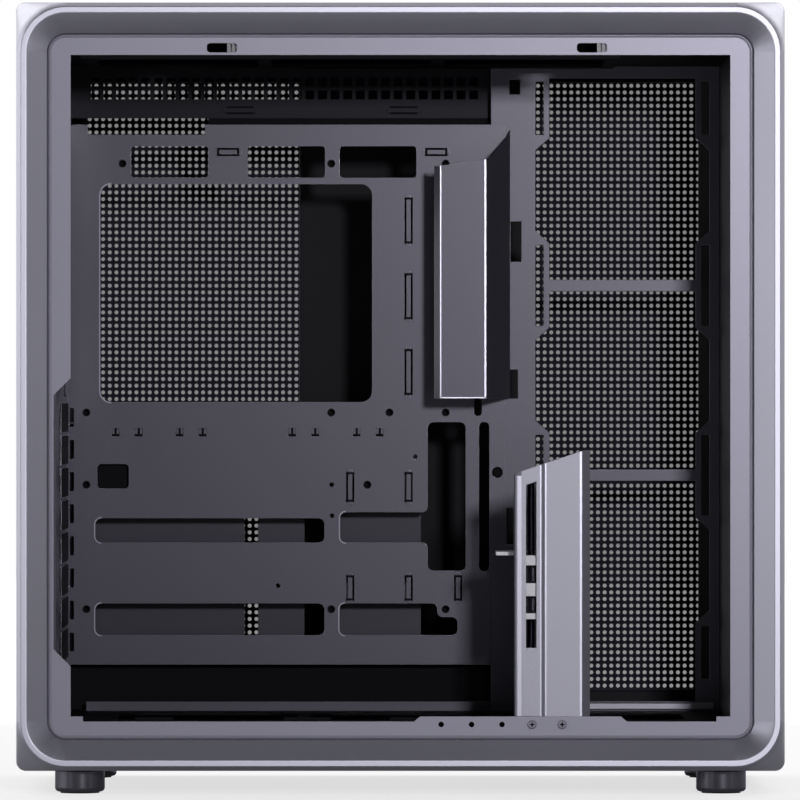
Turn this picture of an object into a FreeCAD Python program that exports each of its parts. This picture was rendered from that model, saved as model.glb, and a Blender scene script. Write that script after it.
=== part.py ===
import FreeCAD, Part
import Sketcher
import os
from types import SimpleNamespace

# X runs from the rear of the case to its front, Y from the open side to the right-hand panel, Z up.
# The origin is on the floor under the middle of the case. Lengths are in millimetres.

SIZES = {
    # whole case
    "case_depth": 472.0,
    "case_width": 285.0,
    "body_height": 472.0,
    "foot_height": 13.5,
    "shell_corner": 6.0,
    "cover_wall": 2.0,
    "steel": 1.2,
    "seam": 0.3,
    # frame round the open side
    "frame_depth": 28.0,
    "ring_corner": 30.0,
    "lip_rise": 4.0,
    "lip_draft": 1.2,
    "lip_round": 2.6,
    "lip_land": 3.6,
    "slope_width": 12.2,
    "slope_depth": 10.0,
    "step_depth": 2.5,
    "seat_width": 5.0,
    # flange and inner chassis
    "opening_margin": 34.0,
    "floor_margin": 30.9,
    "roof_margin": 32.9,
    "ledge_rise": 3.1,
    "cutaway_depth": 10.4,
    "rear_inset": 25.0,
    "rear_chamber": 95.5,
    "catch_slot_length": 18.6,
    "catch_slot_height": 5.8,
    "catch_slot_round": 2.2,
    # outer covers and right-hand panel
    "cover_leg": 14.0,
    "vent_slot_width": 4.5,
    "vent_slot_length": 150.0,
    "vent_slot_pitch": 10.0,
    "vent_slot_count": 39,
    "rear_border": 12.0,
    "rear_fold": 8.0,
    "panel_depth": 13.0,
    "panel_web": 8.0,
    "panel_columns": 5,
    "filter_sheet": 0.6,
    # motherboard tray
    "board_setback": 12.27,
    "board_drop": 61.7,
    "hole_radius": 2.0,
    "tray_lift": 29.5,
    "tray_rise": 24.6,
    "tray_reach": 264.9,
    "loop_width": 5.2,
    "loop_bar": 2.6,
    "cable_path_round": 3.6,
    "loop_rise": 1.4,
    "strip_setback": 13.0,
    "strip_height": 32.6,
    "strip_vent": 5.6,
    "strip_vent_pitch": 8.0,
    "strip_vent_count": 31,
    "rail_height": 6.2,
    "rail_width": 12.0,
    # fan bracket
    "fan_pitch": 120.0,
    "fan_hole_pitch": 105.0,
    "fan_end_width": 92.4,
    "fan_mid_width": 110.0,
    "fan_mid_height": 51.0,
    "fan_chamfer": 7.8,
    "fan_bar": 7.4,
    "fan_slot_width": 5.0,
    "fan_slot_length": 51.0,
    # rear panel and slot covers
    "slot_pitch": 20.32,
    "slot_width": 13.0,
    "slot_length": 108.0,
    "slot_tab_width": 11.0,
    "slot_cover_width": 18.4,
    "slot_cover_sheet": 1.0,
    "board_port_height": 158.75,
    "board_port_width": 44.45,
    "vent_hex": 6.2,
    "vent_pitch": 14.0,
    "supply_height": 150.0,
    "supply_width": 86.0,
    # cable cover and card holder
    "cable_cover_height": 146.0,
    "cable_cover_stand": 45.0,
    "cable_cover_face": 29.0,
    "cable_cover_bevel": 15.5,
    "holder_width": 46.3,
    "holder_height": 163.0,
    "holder_depth": 24.0,
    "holder_slot_width": 6.4,
    "holder_slot_length": 102.0,
    "rod_radius": 2.5,
    "rod_clearance": 0.3,
    "arm_sheet": 2.2,
    "arm_reach": 11.0,
    "arm_length": 49.5,
    "nut_radius": 4.6,
    # feet
    "foot_radius": 15.3,
    "foot_inset_x": 39.0,
    "foot_inset_y": 32.0,
    "foot_round": 2.5,
    "pad_radius": 12.0,
    "pad_height": 1.5,
    "pad_proud": 0.8,
    # button and ports on the front cover
    "button_radius": 7.0,
    "button_clearance": 0.3,
    "button_inset": 0.4,
    "button_collar": 2.2,
    "port_clearance": 0.2,
    "port_inset": 0.3,
    "port_board_gap": 10.4,
    "port_board_sheet": 1.6,
}

doc = FreeCAD.newDocument("ComputerCase")
sheet = doc.addObject("Spreadsheet::Sheet", "Sizes")
for row, (alias, number) in enumerate(SIZES.items(), 1):
    sheet.set(f"A{row}", alias)
    sheet.set(f"B{row}", str(number))
    sheet.setAlias(f"B{row}", alias)
doc.recompute()


class Rule:
    """A length as a number, which starts a sketch, and as the rule that binds it to the sheet."""

    def __init__(self, number, text):
        self.number = number
        self.text = text

    def joined(self, number, sign, other):
        return Rule(number, f"({self.text} {sign} {other.text})")

    def __add__(self, other):
        other = rule(other)
        return self.joined(self.number + other.number, "+", other)

    def __sub__(self, other):
        other = rule(other)
        return self.joined(self.number - other.number, "-", other)

    def __mul__(self, other):
        other = rule(other)
        return self.joined(self.number * other.number, "*", other)

    def __truediv__(self, other):
        other = rule(other)
        return self.joined(self.number / other.number, "/", other)

    def __neg__(self):
        return Rule(-self.number, f"(-1 * {self.text})")

    def __radd__(self, other):
        return rule(other) + self

    def __rsub__(self, other):
        return rule(other) - self

    def __rmul__(self, other):
        return rule(other) * self


def rule(value):
    return value if isinstance(value, Rule) else Rule(float(value), f"({float(value)})")


class Drawing:
    """A sketch on an origin plane of a body. Dimensions bound to the sheet hold each of its corners."""

    def __init__(self, body, plane, level, shift=(0, 0)):
        self.body = body
        self.plane = plane
        self.constraints = []
        self.rules = {}
        self.sketch = body.newObject("Sketcher::SketchObject", body.Name + "_sketch")
        origin = [f for f in body.Origin.OriginFeatures if f.Role == plane + "_Plane"]
        self.sketch.AttachmentSupport = [(origin[0], "")]
        self.sketch.MapMode = "FlatFace"
        along = -rule(level) if plane == "XZ" else rule(level)
        for axis, value in zip("xyz", (*shift, along)):
            self.sketch.setExpression("AttachmentOffset.Base." + axis, rule(value).text)

    def hold(self, kind, *place, value):
        """Notes one dimension and the rule that gives its value."""
        constraint = Sketcher.Constraint(kind, *place, value.number)
        constraint.Name = f"size_{len(self.rules)}"
        self.constraints.append(constraint)
        self.rules[constraint.Name] = value.text

    def place(self, geometry, point, x, y):
        for kind, axis, value in (("DistanceX", -2, rule(x)), ("DistanceY", -1, rule(y))):
            if value.number == 0:
                self.constraints.append(Sketcher.Constraint("PointOnObject", geometry, point, axis))
            else:
                self.hold(kind, -1, 1, geometry, point, value=value)

    def join(self, first, second):
        self.constraints.append(Sketcher.Constraint("Coincident", first, 2, second, 1))

    def finish(self):
        """Puts the noted dimensions into the sketch and binds them to the sheet."""
        self.sketch.addConstraint(self.constraints)
        for name, text in self.rules.items():
            self.sketch.setExpression("Constraints." + name, text)
        return self.sketch

    def polygon(self, points):
        first = self.sketch.GeometryCount
        spots = [FreeCAD.Vector(rule(x).number, rule(y).number, 0) for x, y in points]
        ends = spots[1:] + spots[:1]
        self.sketch.addGeometry([Part.LineSegment(a, b) for a, b in zip(spots, ends)])
        for i, (x, y) in enumerate(points):
            self.join(first + i, first + (i + 1) % len(points))
            self.place(first + i, 1, x, y)
        return self

    def rectangle(self, left, bottom, width, height):
        right = left + width
        top = bottom + height
        return self.polygon([(left, bottom), (right, bottom), (right, top), (left, top)])

    def rounded(self, left, bottom, width, height, radius):
        radius = rule(radius)
        right = left + width
        top = bottom + height
        sides = [
            ((left + radius, bottom), (right - radius, bottom)),
            ((right, bottom + radius), (right, top - radius)),
            ((right - radius, top), (left + radius, top)),
            ((left, top - radius), (left, bottom + radius)),
        ]
        centres = [
            (right - radius, bottom + radius),
            (right - radius, top - radius),
            (left + radius, top - radius),
            (left + radius, bottom + radius),
        ]
        first = self.sketch.GeometryCount
        quarter = 1.5707963267948966
        for turn, (side, centre) in enumerate(zip(sides, centres)):
            start, end = [FreeCAD.Vector(rule(x).number, rule(y).number, 0) for x, y in side]
            middle = FreeCAD.Vector(rule(centre[0]).number, rule(centre[1]).number, 0)
            circle = Part.Circle(middle, FreeCAD.Vector(0, 0, 1), radius.number)
            arc = Part.ArcOfCircle(circle, (turn - 1) * quarter, turn * quarter)
            self.sketch.addGeometry([Part.LineSegment(start, end), arc])
        for turn, side in enumerate(sides):
            line = first + 2 * turn
            self.join(line, line + 1)
            self.join(line + 1, first + (2 * turn + 2) % 8)
            self.place(line, 1, *side[0])
            self.place(line, 2, *side[1])
            self.hold("Radius", line + 1, value=radius)
        return self

    def circle(self, x, y, radius):
        radius = rule(radius)
        spot = FreeCAD.Vector(rule(x).number, rule(y).number, 0)
        index = self.sketch.addGeometry(Part.Circle(spot, FreeCAD.Vector(0, 0, 1), radius.number))
        self.place(index, 3, x, y)
        self.hold("Radius", index, value=radius)
        return self

    def pad(self, length):
        """Adds material from the sketch towards larger X, Y or Z."""
        feature = self.body.newObject("PartDesign::Pad", self.body.Name + "_pad")
        feature.Profile = self.finish()
        feature.setExpression("Length", rule(length).text)
        feature.Reversed = self.plane == "XZ"
        return feature

    def pocket(self, depth=None):
        """Removes material from the sketch towards larger X, Y or Z."""
        feature = self.body.newObject("PartDesign::Pocket", self.body.Name + "_pocket")
        feature.Profile = self.finish()
        feature.Reversed = self.plane != "XZ"
        if depth is None:
            feature.Type = "ThroughAll"
        else:
            feature.setExpression("Length", rule(depth).text)
        return feature

    def turn(self, axis):
        """Turns the sketch round its own H or V axis."""
        feature = self.body.newObject("PartDesign::Revolution", self.body.Name + "_turned")
        feature.Profile = self.finish()
        feature.ReferenceAxis = (self.sketch, [axis + "_Axis"])
        return feature


PIECES = {}


def new_body(name, exported=True):
    body = doc.addObject("PartDesign::Body", name)
    if exported:
        PIECES[name] = body
    return body


def loft(kind, drawings):
    body = drawings[0].body
    feature = body.newObject("PartDesign::" + kind, body.Name + "_loft")
    feature.Profile = drawings[0].finish()
    feature.Sections = [d.finish() for d in drawings[1:]]
    feature.Ruled = True
    return feature


def repeat(feature, axis, length, count):
    """Repeats a feature along an axis of its body."""
    body = feature.getParentGeoFeatureGroup()
    pattern = body.newObject("PartDesign::LinearPattern", body.Name + "_pattern")
    pattern.Originals = [feature]
    direction = [f for f in body.Origin.OriginFeatures if f.Role == axis + "_Axis"]
    pattern.Direction = (direction[0], [""])
    pattern.setExpression("Length", rule(length).text)
    pattern.setExpression("Occurrences", rule(count).text)
    body.Tip = pattern
    return pattern


def round_edges(feature, radius, wanted):
    """Rounds the edges of a feature for which wanted(edge) is true."""
    doc.recompute()
    body = feature.getParentGeoFeatureGroup()
    names = [f"Edge{i}" for i, edge in enumerate(feature.Shape.Edges, 1) if wanted(edge)]
    fillet = body.newObject("PartDesign::Fillet", body.Name + "_round")
    fillet.Base = (feature, names)
    fillet.setExpression("Radius", rule(radius).text)
    body.Tip = fillet
    return fillet


def group(name, bodies):
    """Gives pieces of one kind a single node."""
    compound = doc.addObject("Part::Compound", name)
    compound.Links = bodies
    PIECES[name] = compound


s = SimpleNamespace(**{alias: Rule(number, "Sizes." + alias) for alias, number in SIZES.items()})

half_x = s.case_depth / 2
half_y = s.case_width / 2
half_z = s.body_height / 2
base_z = s.foot_height
top_z = s.foot_height + s.body_height
mid_z = s.foot_height + half_z
open_y = -half_y
frame_back = open_y + s.frame_depth
flange_y = open_y + s.slope_depth + s.step_depth
inner_y = flange_y + s.steel
panel_y = half_y - s.panel_depth
panel_inside = half_y - s.steel
chassis_back = panel_inside - 0.5
tray_y = half_y - s.rear_chamber
bracket_y = tray_y + s.steel
opening_x = half_x - s.opening_margin
floor_z = base_z + s.floor_margin
roof_z = top_z - s.roof_margin
rear_x = s.rear_inset - half_x
board_x = rear_x + s.board_setback
board_z = roof_z - s.board_drop


def centred(drawing, inset, radius):
    """A rounded square inside the outline of the case by the given inset."""
    width = s.case_depth - 2 * inset
    height = s.body_height - 2 * inset
    return drawing.rounded(inset - half_x, base_z + inset, width, height, radius)


# Frame round the open side: drafted outside, rounded lip, slope down to the flange, seat behind.
crest_inset = s.lip_draft + s.lip_round
slope_inset = crest_inset + s.lip_land
ring_inset = slope_inset + s.slope_width
slope_corner = s.ring_corner - s.lip_round - s.lip_land
ring_inner_corner = slope_corner - s.slope_width
side_frame = new_body("side_frame")
loft("AdditiveLoft", [
    centred(Drawing(side_frame, "XZ", frame_back), rule(0), s.shell_corner),
    centred(Drawing(side_frame, "XZ", open_y + s.lip_rise), s.lip_draft, s.ring_corner),
    centred(Drawing(side_frame, "XZ", open_y), crest_inset, s.ring_corner - s.lip_round),
])
centred(Drawing(side_frame, "XZ", open_y), ring_inset, ring_inner_corner).pocket()
loft("SubtractiveLoft", [
    centred(Drawing(side_frame, "XZ", open_y), slope_inset, slope_corner),
    centred(Drawing(side_frame, "XZ", open_y + s.slope_depth), ring_inset, ring_inner_corner),
])
seat_inset = ring_inset - s.seat_width - s.seam
seat_corner = ring_inner_corner + s.seat_width
centred(Drawing(side_frame, "XZ", flange_y), seat_inset, seat_corner).pocket()

# Flange of the chassis with the opening, catch slots and holes along the lower ledge.
inner_flange = new_body("inner_flange")
flange_drawing = Drawing(inner_flange, "XZ", flange_y)
centred(flange_drawing, ring_inset - s.seat_width, seat_corner - s.seam)
ledge_z = floor_z + s.ledge_rise
holder_x = opening_x - 132.2
cutaway_x = -opening_x - s.cutaway_depth
cutaway_top = board_z - 136.2
cutaway_bottom = floor_z + 33.7
flange_drawing.polygon([
    (-opening_x, ledge_z),
    (7.5 - opening_x, ledge_z),
    (7.5 - opening_x, floor_z),
    (holder_x - 61.5, floor_z),
    (holder_x - 57.8, ledge_z),
    (holder_x + 65.2, ledge_z),
    (holder_x + 68.9, floor_z),
    (opening_x - 8.5, floor_z),
    (opening_x - 8.5, ledge_z),
    (opening_x, ledge_z),
    (opening_x, roof_z),
    (-opening_x, roof_z),
    (-opening_x, cutaway_top),
    (cutaway_x, cutaway_top - s.cutaway_depth),
    (cutaway_x, cutaway_bottom + s.cutaway_depth),
    (-opening_x, cutaway_bottom),
])
flange_drawing.pad(s.steel)
catch_z = roof_z + 1.5
catch_rear_x = 83.4 - opening_x
catch_front_x = opening_x - 94.0
catch_drawing = Drawing(inner_flange, "XZ", flange_y)
for left in (catch_rear_x, catch_front_x):
    catch_drawing.rounded(left, catch_z, s.catch_slot_length, s.catch_slot_height, s.catch_slot_round)
catch_drawing.pocket()
ledge_holes = [holder_x + offset for offset in (-44.9, -26.3, -7.6, 10.8, 29.2)]
ledge_hole_z = floor_z - 1.8
ledge_drawing = Drawing(inner_flange, "XZ", flange_y)
for x in ledge_holes:
    ledge_drawing.circle(x, ledge_hole_z, 1.7)
ledge_drawing.pocket()

# Spring catches for a side panel, behind the right-hand third of each catch slot.
for name, left in (("panel_catch_rear", catch_rear_x), ("panel_catch_front", catch_front_x)):
    catch = new_body(name)
    catch_left = left + s.catch_slot_length * 0.67
    block = Drawing(catch, "XZ", inner_y)
    block.rectangle(catch_left, catch_z, 9.0, s.catch_slot_height + 1.5)
    block.pad(7.0)
    groove = Drawing(catch, "XZ", inner_y)
    groove.rectangle(catch_left + 1.6, catch_z + 0.5, 1.4, s.catch_slot_height - 1.0)
    repeat(groove.pocket(3.0), "X", rule(2.6), rule(2))

# Outer covers. Top and bottom are rolled over at front and rear, front and rear plates fill between.
cover_length = panel_y - frame_back
inner_corner = s.shell_corner - s.cover_wall
for name in ("top_cover", "bottom_cover"):
    cover = new_body(name)
    is_top = name == "top_cover"
    plate_z = top_z - s.cover_leg if is_top else base_z
    Drawing(cover, "XZ", frame_back).rounded(
        -half_x, base_z, s.case_depth, s.body_height, s.shell_corner
    ).pad(cover_length)
    Drawing(cover, "XZ", frame_back).rounded(
        s.cover_wall - half_x, base_z + s.cover_wall,
        s.case_depth - 2 * s.cover_wall, s.body_height - 2 * s.cover_wall, inner_corner,
    ).pocket()
    away_z = base_z - 1.0 if is_top else base_z + s.cover_leg
    away_height = s.body_height - s.cover_leg + 1.0
    Drawing(cover, "XZ", frame_back).rectangle(
        -half_x - 1.0, away_z, s.case_depth + 2.0, away_height
    ).pocket()
    first_slot = -s.vent_slot_pitch * (s.vent_slot_count - 1) / 2 - s.vent_slot_width / 2
    vents = Drawing(cover, "XY", plate_z)
    vents.rectangle(first_slot, -s.vent_slot_length / 2 + 7.5, s.vent_slot_width, s.vent_slot_length)
    repeat(vents.pocket(s.cover_leg), "X", s.vent_slot_pitch * (s.vent_slot_count - 1), s.vent_slot_count)

side_low = base_z + s.cover_leg + s.seam
side_height = s.body_height - 2 * (s.cover_leg + s.seam)
front_cover = new_body("front_cover")
Drawing(front_cover, "YZ", half_x - s.cover_wall).rectangle(
    frame_back, side_low, cover_length, side_height
).pad(s.cover_wall)
rear_frame = new_body("rear_frame")
window_width = cover_length - 2 * s.rear_border
window_height = side_height - 2 * s.rear_border
plate = Drawing(rear_frame, "YZ", -half_x)
plate.rectangle(frame_back, side_low, cover_length, side_height)
plate.rectangle(frame_back + s.rear_border, side_low + s.rear_border, window_width, window_height)
plate.pad(s.cover_wall)
fold = Drawing(rear_frame, "YZ", s.cover_wall - half_x)
fold.rectangle(
    frame_back + s.rear_border - s.steel, side_low + s.rear_border - s.steel,
    window_width + 2 * s.steel, window_height + 2 * s.steel,
)
fold.rectangle(frame_back + s.rear_border, side_low + s.rear_border, window_width, window_height)
fold.pad(s.rear_fold)

# Right-hand panel: a folded pan with two perforated fields, each behind a dust filter.
right_panel = new_body("right_side_panel")
centred(Drawing(right_panel, "XZ", panel_y), rule(0), s.shell_corner).pad(s.panel_depth)
centred(Drawing(right_panel, "XZ", panel_y), s.steel, s.shell_corner - s.steel).pocket(
    s.panel_depth - s.steel
)
field_low = floor_z + 9.0
field_height = roof_z - field_low - 5.0
field_rows = 12
row_pitch = field_height / field_rows
fields = {
    "side_filter_rear": (rear_x + 8.0, rule(139.0)),
    "side_filter_front": (opening_x - 122.0, rule(120.0)),
}
for name, (left, width) in fields.items():
    column_pitch = width / s.panel_columns
    column = Drawing(right_panel, "XZ", panel_inside)
    for row in range(field_rows):
        bottom = field_low + row_pitch * row + s.panel_web / 2
        column.rectangle(
            left + s.panel_web / 2, bottom, column_pitch - s.panel_web, row_pitch - s.panel_web
        )
    repeat(column.pocket(), "X", column_pitch * (s.panel_columns - 1), s.panel_columns)
    side_filter = new_body(name)
    Drawing(side_filter, "XZ", panel_inside - s.filter_sheet).rectangle(
        left, field_low, width, field_height
    ).pad(s.filter_sheet)

# Inner chassis: roof, floor and front wall behind the flange.
chassis_left = rear_x - s.steel
chassis_length = opening_x + s.steel - chassis_left
chassis_width = chassis_back - inner_y
roof = new_body("chassis_roof")
roof_drawing = Drawing(roof, "XY", roof_z)
roof_drawing.rectangle(chassis_left, inner_y, chassis_length, chassis_width)
roof_drawing.rounded(rear_x + 20.0, inner_y + 14.0, opening_x - rear_x - 90.0, 136.0, 8.0)
roof_drawing.pad(s.steel)
bracket_length = opening_x - rear_x - 82.5
top_bracket = new_body("top_fan_bracket")
bracket_drawing = Drawing(top_bracket, "XY", roof_z - 2.2)
bracket_drawing.rectangle(rear_x + 15.0, inner_y + 1.0, bracket_length, rule(160.0))
bracket_drawing.pad(2.2)
bay = (bracket_length - 32.0) / 3
bay_drawing = Drawing(top_bracket, "XY", roof_z - 2.2)
bay_drawing.rounded(rear_x + 23.0, inner_y + 20.0, bay, rule(118.0), 12.0)
repeat(bay_drawing.pocket(), "X", 2 * (bay + 8.0), rule(3))
top_filter = new_body("top_filter")
Drawing(top_filter, "XY", top_z - s.cover_wall - s.filter_sheet).rectangle(
    14.0 - opening_x, -s.vent_slot_length / 2 - 2.5, 2 * opening_x - 28.0, s.vent_slot_length + 20.0
).pad(s.filter_sheet)

holder_tab_left = holder_x + 4.6
holder_tab_right = holder_x + s.holder_width - 4.9
floor = new_body("chassis_floor")
floor_drawing = Drawing(floor, "XY", floor_z - s.steel)
floor_drawing.polygon([
    (chassis_left, inner_y),
    (holder_tab_left - 0.5, inner_y),
    (holder_tab_left - 0.5, inner_y + s.steel + s.seam),
    (holder_tab_right + 0.5, inner_y + s.steel + s.seam),
    (holder_tab_right + 0.5, inner_y),
    (opening_x + s.steel, inner_y),
    (opening_x + s.steel, chassis_back),
    (chassis_left, chassis_back),
])
floor_drawing.pad(s.steel)
floor_bay = Drawing(floor, "XY", floor_z - s.steel)
floor_bay.rounded(-s.fan_pitch - 56.0, inner_y + 28.0, rule(112.0), rule(112.0), 20.0)
repeat(floor_bay.pocket(), "X", 2 * s.fan_pitch, rule(3))
tabs = Drawing(floor, "XY", floor_z)
for left, width in ((39.2, 23.5), (130.5, 29.0), (195.5, 15.5)):
    tabs.rectangle(left - opening_x, inner_y + 4.0, rule(width), rule(1.2))
tabs.pad(2.4)

front_wall = new_body("chassis_front_wall")
wall_drawing = Drawing(front_wall, "YZ", opening_x)
wall_drawing.rectangle(inner_y, floor_z, chassis_width, roof_z - floor_z)
wall_drawing.rounded(bracket_y + 20.0, roof_z - 120.0, rule(24.0), rule(60.0), 8.0)
wall_drawing.pad(s.steel)

# Rear panel: board ports, hexagon fan vent, expansion slots with their ledge, power supply opening.
slot_z = [board_z - 160.6 - s.slot_pitch * i for i in range(8)]
slot_front = tray_y - 9.0
ledge_y = slot_front - s.slot_length
rear_panel = new_body("rear_panel")
port_y = tray_y - 4.3 - s.board_port_width
port_z = slot_z[0] + s.slot_pitch / 2 + 3.0
rear_face = rear_x - s.steel
Drawing(rear_panel, "YZ", rear_face).rectangle(
    inner_y, floor_z, chassis_width, roof_z - floor_z
).pad(s.steel)
Drawing(rear_panel, "YZ", rear_face).rounded(
    port_y, port_z, s.board_port_width, s.board_port_height, 1.5
).pocket()
slot_window = Drawing(rear_panel, "YZ", rear_face)
slot_window.rectangle(ledge_y - 1.5, slot_z[7] - s.slot_width / 2, s.slot_length + 1.5, s.slot_width)
repeat(slot_window.pocket(), "Z", s.slot_pitch * 7, rule(8))
supply_y = bracket_y + 3.3
supply_z = board_z - 163.0
Drawing(rear_panel, "YZ", rear_face).rounded(
    supply_y + 11.0, supply_z + 14.0, s.supply_width - 20.0, s.supply_height - 28.0, 6.0
).pocket()
supply_holes = Drawing(rear_panel, "YZ", rear_face)
for across, along in ((80.0, 6.0), (80.0, 144.0), (16.0, 6.0), (6.0, 120.0)):
    supply_holes.circle(supply_y + across, supply_z + along, 1.8)
supply_holes.pocket()
vent_y = port_y - 63.0
vent_z = port_z + s.board_port_height / 2 + 8.0
half_hex = s.vent_hex / 2
wide_hex = s.vent_hex * 0.866
for row in range(-3, 4):
    more = 6 - abs(row)
    y = vent_y + s.vent_pitch * 0.866 * row
    z = vent_z - s.vent_pitch * more / 2
    cell = Drawing(rear_panel, "YZ", rear_face).polygon([
        (y - wide_hex, z - half_hex), (y, z - s.vent_hex), (y + wide_hex, z - half_hex),
        (y + wide_hex, z + half_hex), (y, z + s.vent_hex), (y - wide_hex, z + half_hex),
    ])
    repeat(cell.pocket(), "Z", s.vent_pitch * more, rule(more + 1))
fan_holes = Drawing(rear_panel, "YZ", rear_face)
for y in (vent_y - s.fan_hole_pitch / 2, vent_y + s.fan_hole_pitch / 2):
    for z in (vent_z - s.fan_hole_pitch / 2, vent_z + s.fan_hole_pitch / 2):
        fan_holes.circle(y, z, 2.2)
fan_holes.pocket()
slot_ledge = Drawing(rear_panel, "YZ", rear_face - s.slot_tab_width)
slot_ledge.rectangle(ledge_y, slot_z[7] - 14.0, s.steel, s.slot_pitch * 7 + 28.0)
slot_ledge.pad(s.slot_tab_width)
screw_x = rear_face - s.slot_tab_width / 2
screw_holes = Drawing(rear_panel, "XZ", ledge_y)
for z in slot_z:
    screw_holes.circle(screw_x, z, 1.7)
screw_holes.pocket(s.steel)

slot_screws = []
for number, z in enumerate(slot_z, 1):
    cover = new_body(f"slot_cover_{number}")
    Drawing(cover, "YZ", rear_x).rectangle(
        ledge_y - s.slot_cover_sheet, z - s.slot_cover_width / 2,
        s.slot_length + 6.0, s.slot_cover_width,
    ).pad(s.slot_cover_sheet)
    tab_left = rear_face - s.slot_tab_width
    tab = Drawing(cover, "XZ", ledge_y - s.slot_cover_sheet)
    tab.rectangle(
        tab_left, z - s.slot_width / 2 + 0.5, s.slot_tab_width + s.steel, s.slot_width - 1.0
    )
    tab.circle(screw_x, z, 1.7)
    tab.pad(s.slot_cover_sheet)
    screw = new_body(f"slot_screw_{number}", exported=False)
    head = ledge_y - s.slot_cover_sheet
    Drawing(screw, "XY", z, (screw_x, 0)).polygon([
        (0, head - 2.2), (2.6, head - 2.2), (3.4, head - 1.2), (3.4, head),
        (1.5, head), (1.5, ledge_y + 4.0), (0, ledge_y + 4.0),
    ]).turn("V")
    slot_screws.append(screw)
group("slot_screws", slot_screws)

# Motherboard tray. Cut-outs are placed from the upper rear board hole, as (across, up, width, height).
tray = new_body("motherboard_tray")
tray_right = board_x + s.tray_reach
tray_top = board_z + s.tray_rise
tray_low = floor_z + s.tray_lift
Drawing(tray, "XZ", tray_y).polygon([
    (rear_x, tray_low), (tray_right - 8.9, tray_low),
    (tray_right - 8.9, board_z - 259.0), (tray_right - 3.2, board_z - 259.0),
    (tray_right - 3.2, board_z - 213.0), (tray_right, board_z - 208.0),
    (tray_right, tray_top), (board_x + 75.1, tray_top),
    (board_x + 75.1, tray_top - 6.4), (board_x + 0.8, tray_top - 6.4),
    (board_x + 0.8, tray_top), (rear_x, tray_top),
]).pad(s.steel)
cooler_cutout = Drawing(tray, "XZ", tray_y)
cooler_cutout.rounded(board_x + 8.8, board_z - 150.9, rule(172.0), rule(137.9), 7.0)
cooler_cutout.pocket()
for across, up, width, height, radius in (
    (28.2, -9.0, 49.0, 20.0, 2.2),
    (102.0, -9.0, 49.0, 20.0, 2.2),
    (160.2, -9.0, 48.6, 20.0, 2.2),
    (6.9, -205.6, 19.9, 15.5, 2.5),
    (5.6, -239.8, 145.0, 15.4, 4.0),
    (5.6, -298.4, 145.0, 20.1, 4.0),
    (248.4, -258.0, 6.6, 94.4, 3.0),
    (245.3, -159.7, 5.0, 54.0, 2.4),
):
    Drawing(tray, "XZ", tray_y).rounded(
        board_x + across, board_z + up, rule(width), rule(height), radius
    ).pocket()
cable_paths = Drawing(tray, "XZ", tray_y)
path_corners = []
for outline in (
    ((216.0, -257.6), (240.0, -257.6), (240.0, -163.6), (216.0, -163.6),
     (216.0, -220.6), (160.5, -220.6), (160.5, -239.8), (216.0, -239.8)),
    ((160.1, -298.4), (234.8, -298.4), (234.8, -287.0),
     (222.0, -287.0), (222.0, -278.3), (160.1, -278.3)),
):
    corners = [(board_x + across, board_z + up) for across, up in outline]
    cable_paths.polygon(corners)
    path_corners += corners
round_edges(cable_paths.pocket(), s.cable_path_round, lambda edge: (
    edge.BoundBox.YLength > s.steel.number - 0.01
    and any(
        abs(edge.CenterOfMass.x - x.number) < 0.01 and abs(edge.CenterOfMass.z - z.number) < 0.01
        for x, z in path_corners
    )
))
board_holes = Drawing(tray, "XZ", tray_y)
for across, up in (
    (22.86, 0.0), (154.94, 0.0), (227.33, 0.0),
    (0.0, -157.48), (154.94, -157.48), (191.77, -157.48), (227.33, -157.48),
    (0.0, -203.2), (177.8, -203.2),
    (0.0, -281.94), (154.94, -281.94), (227.33, -281.94),
):
    board_holes.circle(board_x + across, board_z + up, s.hole_radius)
for across, up, radius in (
    (155.2, -203.2, 1.5), (208.1, -185.4, 1.5), (155.4, -222.8, 1.5),
    (121.2, -267.1, 1.5), (260.1, -195.4, 3.5),
):
    board_holes.circle(board_x + across, board_z + up, radius)
board_holes.pocket()
lances = Drawing(tray, "XZ", tray_y)
for across in (25.7, 66.2, 137.4, 178.2):
    for side in (-9.8, 4.8):
        lances.rectangle(board_x + across + side, board_z - 172.7, rule(5.0), rule(5.4))
for z in slot_z:
    lances.rectangle(rear_x + 1.6, z - 6.0, rule(2.8), rule(12.0))
lances.pocket()
upright_loops = (
    (201.3, -50.2, 28.3), (201.3, -98.1, 28.3), (201.3, -146.0, 28.3),
    (164.3, -213.6, 18.0), (201.3, -213.6, 18.0),
    (164.3, -276.1, 15.3), (201.3, -276.1, 15.3), (232.6, -276.1, 15.3),
)
level_loops = ((83.1, 4.7, 13.2), (214.8, 4.7, 13.2))
loop_holes = Drawing(tray, "XZ", tray_y)
loop_bars = Drawing(tray, "XZ", tray_y - s.loop_rise)
bar_edge = (s.loop_width - s.loop_bar) / 2
for across, up, length in upright_loops:
    left = board_x + across
    bottom = board_z + up
    loop_holes.rectangle(left, bottom, s.loop_width, rule(length))
    loop_bars.rectangle(left + bar_edge, bottom - 1.8, s.loop_bar, rule(length + 3.6))
for across, up, length in level_loops:
    left = board_x + across
    bottom = board_z + up
    loop_holes.rectangle(left, bottom, rule(length), s.loop_width)
    loop_bars.rectangle(left - 1.8, bottom + bar_edge, rule(length + 3.6), s.loop_bar)
loop_holes.pocket()
loop_bars.pad(s.loop_rise)

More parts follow.
